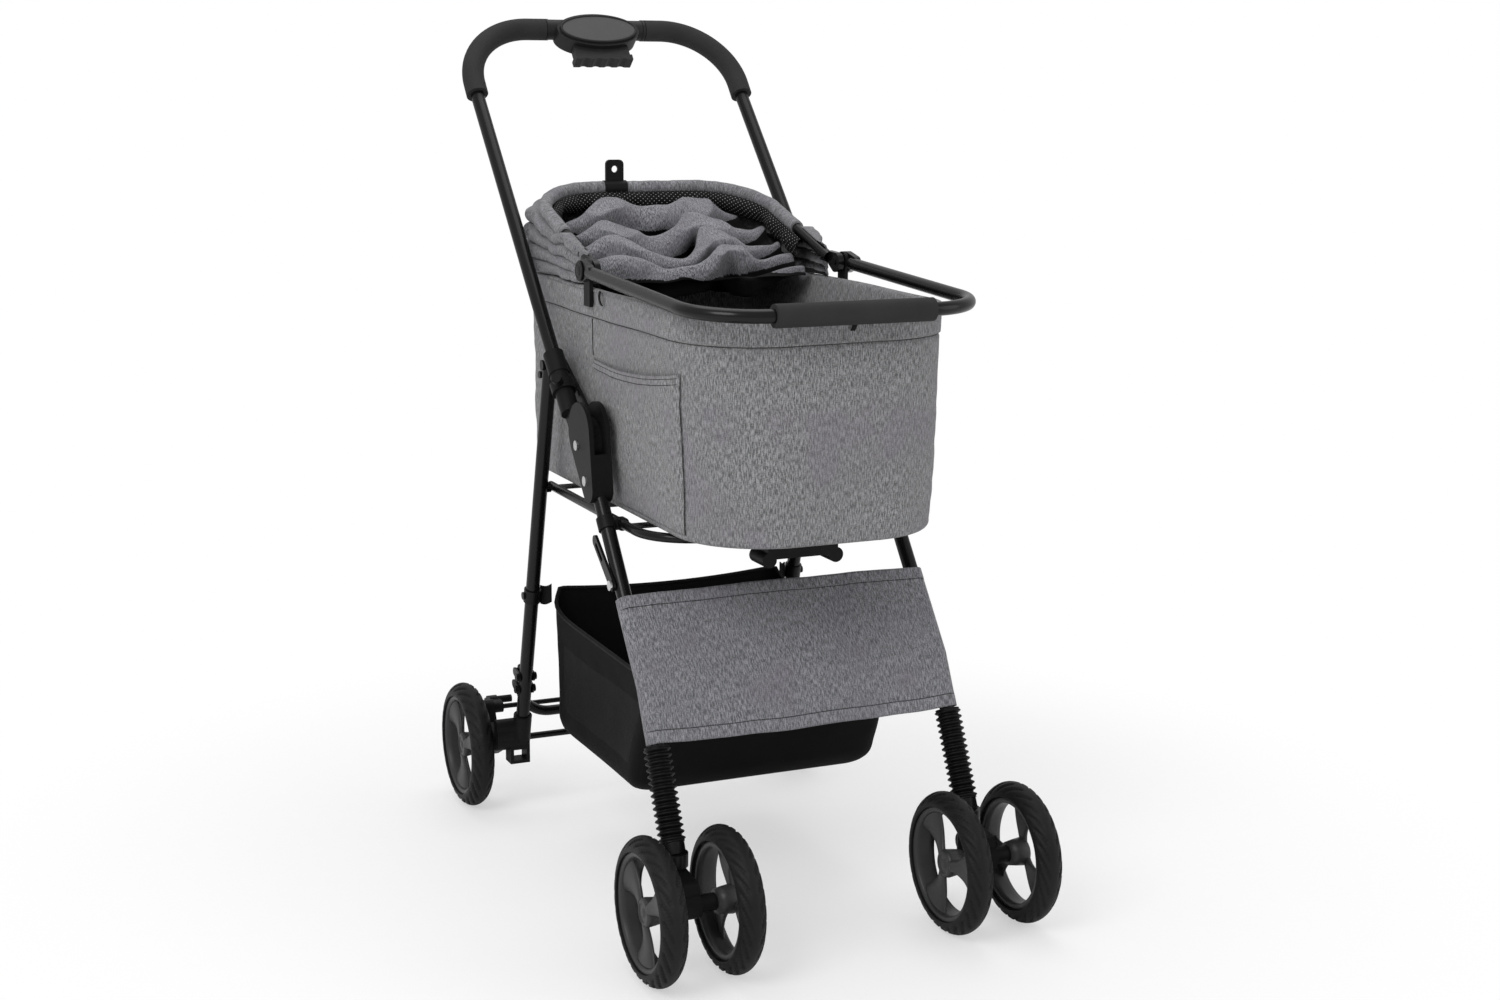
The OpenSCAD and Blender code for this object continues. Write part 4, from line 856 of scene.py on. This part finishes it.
for label, (x, y, side, turn) in wheelPlaces.items():
    centre = (x, y, wheel["radius"])
    where = label if "rear" in label else "front_" + label
    body = where.replace("_", "_wheel_", 1)
    makeTyre(label, centre, body, where.replace("_", "_tyre_", 1))
    makeRim(label, centre, side, body, where.replace("_", "_rim_", 1), turn)
print("wheels made")


canopy = dict(
    knuckle=(0.008, 0.673), rise=17.5, reach=0.244, half=0.1421, corner=0.080,
    sleeve=0.0079, sleeveFrom=0.105,     # radius of the sleeve on the hoop, and where it starts behind the knuckle
    button=0.1617,
    rimHalf=0.1485, rimReach=0.2420, rimCorner=0.050, rimHigh=0.6570,
    pleats=4, puff=0.0150, inset=0.0070,
    folds=4.2, bend=(1.30, 2.10),        # how many folds, and how far their run swings from level, radians
    foldFrom=(0.2200, 0.7130), foldTo=(0.0560, 0.6540), foldHalf=0.1295, foldLimit=(-0.032, 0.028),
)


def archLine(half, reach, corner, begin, count):
    # Half of a rounded rectangle, open at the front: x across and distance behind the pivot, evenly spaced
    q = np.linspace(0, np.pi / 2, 30)
    one = np.stack([corner - half - corner * np.cos(q), reach - corner + corner * np.sin(q)], -1)
    rows = np.concatenate([[[-half, begin]], one, one[::-1] * [-1, 1], [[half, begin]]])
    along = np.append(0, np.cumsum(np.linalg.norm(np.diff(rows, axis=0), axis=-1)))
    steps = np.linspace(0, along[-1], count)
    return np.stack([np.interp(steps, along, rows[:, k]) for k in range(2)], -1)


def onHoop(arch, lift=0.0):
    # Arch points laid in the hoop's leaning plane, lifted square to it
    a = math.radians(canopy["rise"])
    y = canopy["knuckle"][0] + arch[..., 1] * math.cos(a) - lift * math.sin(a)
    z = canopy["knuckle"][1] + arch[..., 1] * math.sin(a) + lift * math.cos(a)
    return np.stack(np.broadcast_arrays(arch[..., 0], y, z), -1)


def spread(thing):
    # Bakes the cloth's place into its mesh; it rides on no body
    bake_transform(thing)


def makeSleeve():
    line = onHoop(archLine(canopy["half"], canopy["reach"], canopy["corner"], canopy["sleeveFrom"], 320))
    s = np.linspace(0, 1, 320)
    turn = np.linspace(0, 2 * np.pi, 22, endpoint=False)
    around = np.broadcast_arrays(s[:, None] * 0.62, np.cos(turn) * 0.012, np.sin(turn) * 0.012)
    reach = canopy["sleeve"] + 0.0006 * ripple(np.stack(around, -1), 51, 0.03, 3)
    made = piece("hoopSleeve", tube(line, reach, (0, -math.sin(0.305), math.cos(0.305)), 22),
                 ["canopyCloth"], "canopy")
    return made


def makePleats():
    # The wall between rim and hoop: puffs = |sin(pi * pleats * t)|^0.45, drawn together by elastic near the knuckles
    ns, nt = 420, 92
    t = np.linspace(0, 1, nt)
    rim = archLine(canopy["rimHalf"], canopy["rimReach"], canopy["rimCorner"], 0.018, ns)
    low = np.stack([rim[:, 0], canopy["knuckle"][0] + rim[:, 1], np.full(ns, canopy["rimHigh"])], -1)
    highArch = archLine(canopy["half"] + 0.0055, canopy["reach"] + 0.0040, canopy["corner"], 0.030, ns)
    cover = 1 - smooth(highArch[:, 1], 0.085, 0.125)
    high = onHoop(highArch, -0.0050 + 0.0120 * cover)
    ahead = np.gradient(rim, axis=0)
    out = unit(np.stack([-ahead[:, 1], ahead[:, 0], 0 * ahead[:, 0]], -1))
    gap = np.linalg.norm(high - low, axis=-1)
    points = low[:, None] + (high - low)[:, None] * t[None, :, None]
    warp = ripple(points, 61, 0.085, 2) * 0.09
    wave = np.abs(np.sin(np.pi * canopy["pleats"] * np.clip(t[None] + warp, 0, 1))) ** 0.45
    ends = smooth(np.arange(ns) / ns, 0, 0.05) * (1 - smooth(np.arange(ns) / ns, 0.95, 1))
    size = canopy["puff"] * np.clip(gap / 0.055, 0.45, 1.25) * (0.35 + 0.65 * ends)
    uneven = 1 + 0.42 * ripple(points, 62, 0.034, 2)
    gather = ripple(points * np.array([1, 1, 0.25]), 63, 0.014, 2)
    pinch = 1 - wave
    crumpled = 1 - smooth(rim[:, 1], 0.030, 0.062)
    push = size[:, None] * wave * uneven + (0.0012 + 0.0044 * crumpled[:, None]) * gather * (0.4 + pinch)
    push = push * smooth(t, 0, 0.03)[None] * (1 - smooth(t, 0.97, 1))[None] - canopy["inset"]
    points = points + out[:, None] * push[..., None]
    points[..., 2] += 0.0035 * np.sin(2 * np.pi * canopy["pleats"] * t)[None] * (0.5 + 0.5 * uneven) * -0.5
    points[..., 0] = np.clip(points[..., 0], -0.1590, 0.1590)
    points[..., 1] = np.minimum(points[..., 1], 0.2600)
    # The valleys between the puffs, where shade falls, take the black cloth as painted shade; so do the lowest rows
    # by the rim
    valleyShadeAndFootSlots = ((wave < 0.40) | (t < 0.05))[:-1, :-1].astype(int)
    made = piece("canopyPleats", [patch(points, slot=valleyShadeAndFootSlots.reshape(-1))],
                 ["canopyCloth", "liningAndShadeCloth"], None, ["canopy_fabric"], wall=0.0012)
    spread(made)
    return made


def makeNet():
    # A strip of net hanging inside the hoop, loosely bunched
    ns, nt = 300, 34
    t = np.linspace(0, 1, nt)
    arch = archLine(canopy["half"] - 0.0090, canopy["reach"] - 0.0090, canopy["corner"] - 0.006, 0.075, ns)
    top = onHoop(arch, -0.0020)
    ahead = np.gradient(arch, axis=0)
    inward = unit(np.stack([ahead[:, 1], -ahead[:, 0], 0 * ahead[:, 0]], -1))
    drop = 0.75 + 0.35 * ripple(top, 71, 0.09, 2)
    points = top[:, None] + np.array([0, 0, -0.030]) * t[None, :, None] * drop[:, None, None]
    wave = ripple(points * np.array([1, 1, 0.6]), 72, 0.035, 3)
    push = (0.0065 * np.sin(np.pi * t) ** 0.8)[None] + 0.0032 * wave * smooth(t, 0, 0.25)[None]
    points = points + inward[:, None] * push[..., None]
    made = piece("canopyNet", [patch(points)], ["canopyNet"], None, wall=0.0008)
    spread(made)
    return made


def makeFolds():
    # The gathered hood: along v the cloth's run turns by swing * sin(2 pi folds v + drift),
    # so its folds overhang like a river's bends
    nu, nv = 180, 340
    u = np.linspace(-1, 1, nu)[:, None]
    v = np.linspace(0, 1, nv)[None]
    seed = np.stack([u * 0.13 + 0 * v, v * 0.20 + 0 * u, 0 * u * v], -1)
    drift = 3.6 * ripple(seed * np.array([1, 0.5, 1]), 81, 0.17, 1) + 3.0 * u
    least, most = canopy["bend"]
    swing = least + (most - least) * (0.5 + 1.2 * ripple(seed, 82, 0.12, 1))
    swing = np.clip(swing, 0.8, 2.15) * (1 - 0.45 * np.abs(u) ** 5)
    angle = swing * np.sin(2 * np.pi * canopy["folds"] * v + drift)
    run = np.cumsum(np.cos(angle), 1)
    rise = np.cumsum(np.sin(angle), 1)
    run, rise = run - run[:, :1], rise - rise[:, :1]
    length = run[:, -1:]
    rise = rise - rise[:, -1:] * v
    rise = rise - (rise.mean(1, keepdims=True))
    start, end = np.array(canopy["foldFrom"]), np.array(canopy["foldTo"])
    chord = end - start
    far = np.linalg.norm(chord)
    square = np.array([chord[1], -chord[0]]) / far
    share = run / length
    high = rise / length * far
    ends = smooth(v, 0, 0.05) * (1 - smooth(v, 0.95, 1))
    high = np.clip(high, *canopy["foldLimit"]) * ends
    y = start[0] + chord[0] * share + square[0] * high
    z = start[1] + chord[1] * share + square[1] * high
    z = z - 0.016 * (1 - u ** 2) * np.sin(np.pi * np.clip(share, 0, 1))
    half = canopy["foldHalf"] - 0.034 * np.clip((y - 0.165) / 0.06, 0, 1) ** 2
    points = np.stack(np.broadcast_arrays(u * half, y, z), -1).copy()
    points = points + 0.0030 * ripple(points, 83, 0.045, 2)[..., None] * np.array([0.3, 1, 1])
    points[..., 1] = np.minimum(points[..., 1], 0.236)
    # Faces sunk low between the folds, where shade falls, take the black cloth: painted shade
    tuckShadeSlots = (high < 0.0030)[:-1, :-1].astype(int)
    made = piece("canopyFolds", [patch(points, slot=tuckShadeSlots.reshape(-1))],
                 ["hoodClothPaintedLight", "liningAndShadeCloth"], None, wall=0.0012)
    spread(made)
    return made


makeButtons()
sleevePiece = makeSleeve()
pleatPiece = makePleats()
netPiece = makeNet()
foldPiece = makeFolds()
print("canopy made")


cushion = dict(gap=0.0075, grow=0.008, voxel=0.005, pressure=4.0)


def swollen(start, grow, voxel, pressure):
    # Blows a closed skin up a little; no point moves further than grow
    shape = start.copy()
    shape.data = start.data.copy()
    bpy.context.scene.collection.objects.link(shape)
    mesher = shape.modifiers.new("even", "REMESH")
    mesher.mode = "VOXEL"
    mesher.voxel_size = voxel
    bpy.context.view_layer.update()
    even = bpy.data.meshes.new_from_object(shape.evaluated_get(bpy.context.evaluated_depsgraph_get()))
    shape.modifiers.clear()
    shape.data = even
    before = np.empty(len(even.vertices) * 3)
    even.vertices.foreach_get("co", before)
    cloth = shape.modifiers.new("fill", "CLOTH")
    cloth.settings.use_pressure = True
    cloth.settings.uniform_pressure_force = pressure
    cloth.settings.effector_weights.gravity = 0
    cloth.settings.quality = 5
    cloth.collision_settings.use_collision = False
    cloth.point_cache.frame_start = 1
    cloth.point_cache.frame_end = 20
    for k in range(1, 21):
        bpy.context.scene.frame_set(k)
    done = shape.evaluated_get(bpy.context.evaluated_depsgraph_get()).to_mesh()
    after = np.empty(len(done.vertices) * 3)
    done.vertices.foreach_get("co", after)
    shape.modifiers.clear()
    bpy.context.scene.frame_set(1)
    before, after = before.reshape(-1, 3), after.reshape(-1, 3)
    move = after - before
    far = np.linalg.norm(move, axis=-1, keepdims=True)
    points = before + move * np.minimum(1, grow / np.maximum(far, 1e-9))
    faces = np.empty(len(even.loops), dtype=np.int32)
    even.loops.foreach_get("vertex_index", faces)
    starts = np.empty(len(even.polygons), dtype=np.int32)
    even.polygons.foreach_get("loop_start", starts)
    faces = np.split(faces, starts[1:])
    bpy.data.objects.remove(shape)
    return points, faces


def makeCushion():
    low, high = (np.array(corner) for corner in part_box("cabin_cushion"))
    gap, grow = cushion["gap"], cushion["grow"]
    zl, zh = low[2] + 0.0005, high[2] - 0.003
    q = np.linspace(0, np.pi / 2, 5)
    z = np.concatenate([np.full(8, zl), zl + 0.004 * (1 - np.cos(q)), np.linspace(zl + 0.005, zh - 0.005, 5),
                        zh - 0.004 * (1 - np.sin(q)), np.full(8, zh)])
    inset = np.concatenate([np.full(8, 0.004), 0.004 * (1 - np.sin(q)), np.zeros(5),
                            0.004 * (1 - np.cos(q)), np.full(8, 0.004)])
    share = np.concatenate([np.linspace(0, 0.93, 8), np.ones(15), np.linspace(0.93, 0, 8)])
    points = drawnIn(cabinWall(planLoop[:, None], z[None], -(cabin["wall"] + gap) - inset[None]), share)
    start = piece("cushionStart", [patch(points, loopU=True)], ["liningAndShadeCloth"], None)
    points, faces = swollen(start, grow, cushion["voxel"], cushion["pressure"])
    bpy.data.objects.remove(start)
    points[:, 2] = np.clip(points[:, 2], low[2] + 0.0003, high[2] + 0.004)
    dimple = np.cos(points[:, 1] * 2 * np.pi / 0.110) * np.cos(points[:, 0] * 2 * np.pi / 0.135)
    top = smooth(points[:, 2], (zl + zh) / 2, zh)
    points[:, 2] -= 0.0026 * np.clip(dimple - 0.55, 0, 1) / 0.45 * top
    mesh = bpy.data.meshes.new("cabinPad")
    mesh.from_pydata(points.tolist(), [], [list(map(int, face)) for face in faces])
    mesh.polygons.foreach_set("use_smooth", np.ones(len(faces), dtype=bool))
    mesh.materials.append(finishes["padCloth"])
    made = put("cabinPad", mesh)
    detail = made.modifiers.new("detail", "SUBSURF")
    detail.levels = detail.render_levels = 1
    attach(made, "frame")
    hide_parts("cabin_cushion")


makeCushion()
print("cabin pad made")


def makeStage():
    shop = Shop("studioFloor")
    place = shop.where(False)
    x = shop.split(place, 0)
    y = shop.split(place, 1)
    far = shop.band((x * x + y * y) ** 0.5, 0.45, 0.95)
    grain = shop.noise(place, 40, 3)
    colour = shop.blend(grain, (0.90, 0.90, 0.90, 1), stage["floorColour"])
    paper = shop.add("ShaderNodeBsdfPrincipled", {}, {"Base Color": colour, "Roughness": 0.6})
    glow = shop.add("ShaderNodeEmission", {}, {"Color": (1, 1, 1, 1), "Strength": 1.0})
    rays = shop.add("ShaderNodeLightPath", out=0)
    mixed = shop.add("ShaderNodeMixShader", {}, {0: (0.5 + 0.5 * far) * rays, 1: paper, 2: glow})
    shop.add("ShaderNodeOutputMaterial", {}, {"Surface": mixed})
    mesh = bpy.data.meshes.new("studioFloor")
    mesh.from_pydata([(-9, -9, 0), (9, -9, 0), (9, 9, 0), (-9, 9, 0)], [], [(0, 1, 2, 3)])
    mesh.materials.append(shop.finish)
    put("studioFloor", mesh)


def makeWorld():
    world = bpy.data.worlds.new("studio")
    bpy.context.scene.world = world
    shop = Shop("studio", world)
    white = (1, 1, 1, 1)
    soft = shop.add("ShaderNodeBackground", {}, {"Color": white, "Strength": stage["worldPower"]})
    clear = shop.add("ShaderNodeBackground", {}, {"Color": white})
    seen = shop.maths("MAXIMUM", shop.add("ShaderNodeLightPath", out="Is Camera Ray"),
                      shop.add("ShaderNodeLightPath", out="Is Transmission Ray"))
    mixed = shop.add("ShaderNodeMixShader", {}, {0: seen, 1: soft, 2: clear})
    shop.add("ShaderNodeOutputWorld", {}, {"Surface": mixed})


def lamp(name, place, aim, power, size):
    light = bpy.data.lights.new(name, "AREA")
    light.energy = power
    light.shape = "DISK"
    light.size = size
    thing = put(name, light)
    thing.location = place
    thing.rotation_euler = (Vector(aim) - Vector(place)).to_track_quat("-Z", "Y").to_euler()


def makeCamera():
    camera = put("camera", bpy.data.cameras.new("camera"))
    camera.data.lens = stage["lens"]
    camera.data.sensor_width = 36
    turns = [Matrix.Rotation(math.radians(angle), 4, axis)
             for angle, axis in ((stage["turn"], "Z"), (90 - stage["tilt"], "X"), (stage["roll"], "Z"))]
    camera.matrix_world = Matrix.Translation(stage["eye"]) @ turns[0] @ turns[1] @ turns[2]
    bpy.context.scene.camera = camera


makeStage()
makeWorld()
lamp("key", (-2.2, -1.6, 2.4), (0, 0, 0.5), stage["keyPower"], 1.8)
lamp("fill", (2.4, -2.0, 1.4), (0, 0, 0.5), stage["fillPower"], 2.2)
lamp("top", (0.2, 0.6, 3.0), (0, 0, 0.5), stage["topPower"], 2.4)
makeCamera()
bpy.context.scene.view_settings.view_transform = "Standard"
print("stage set")
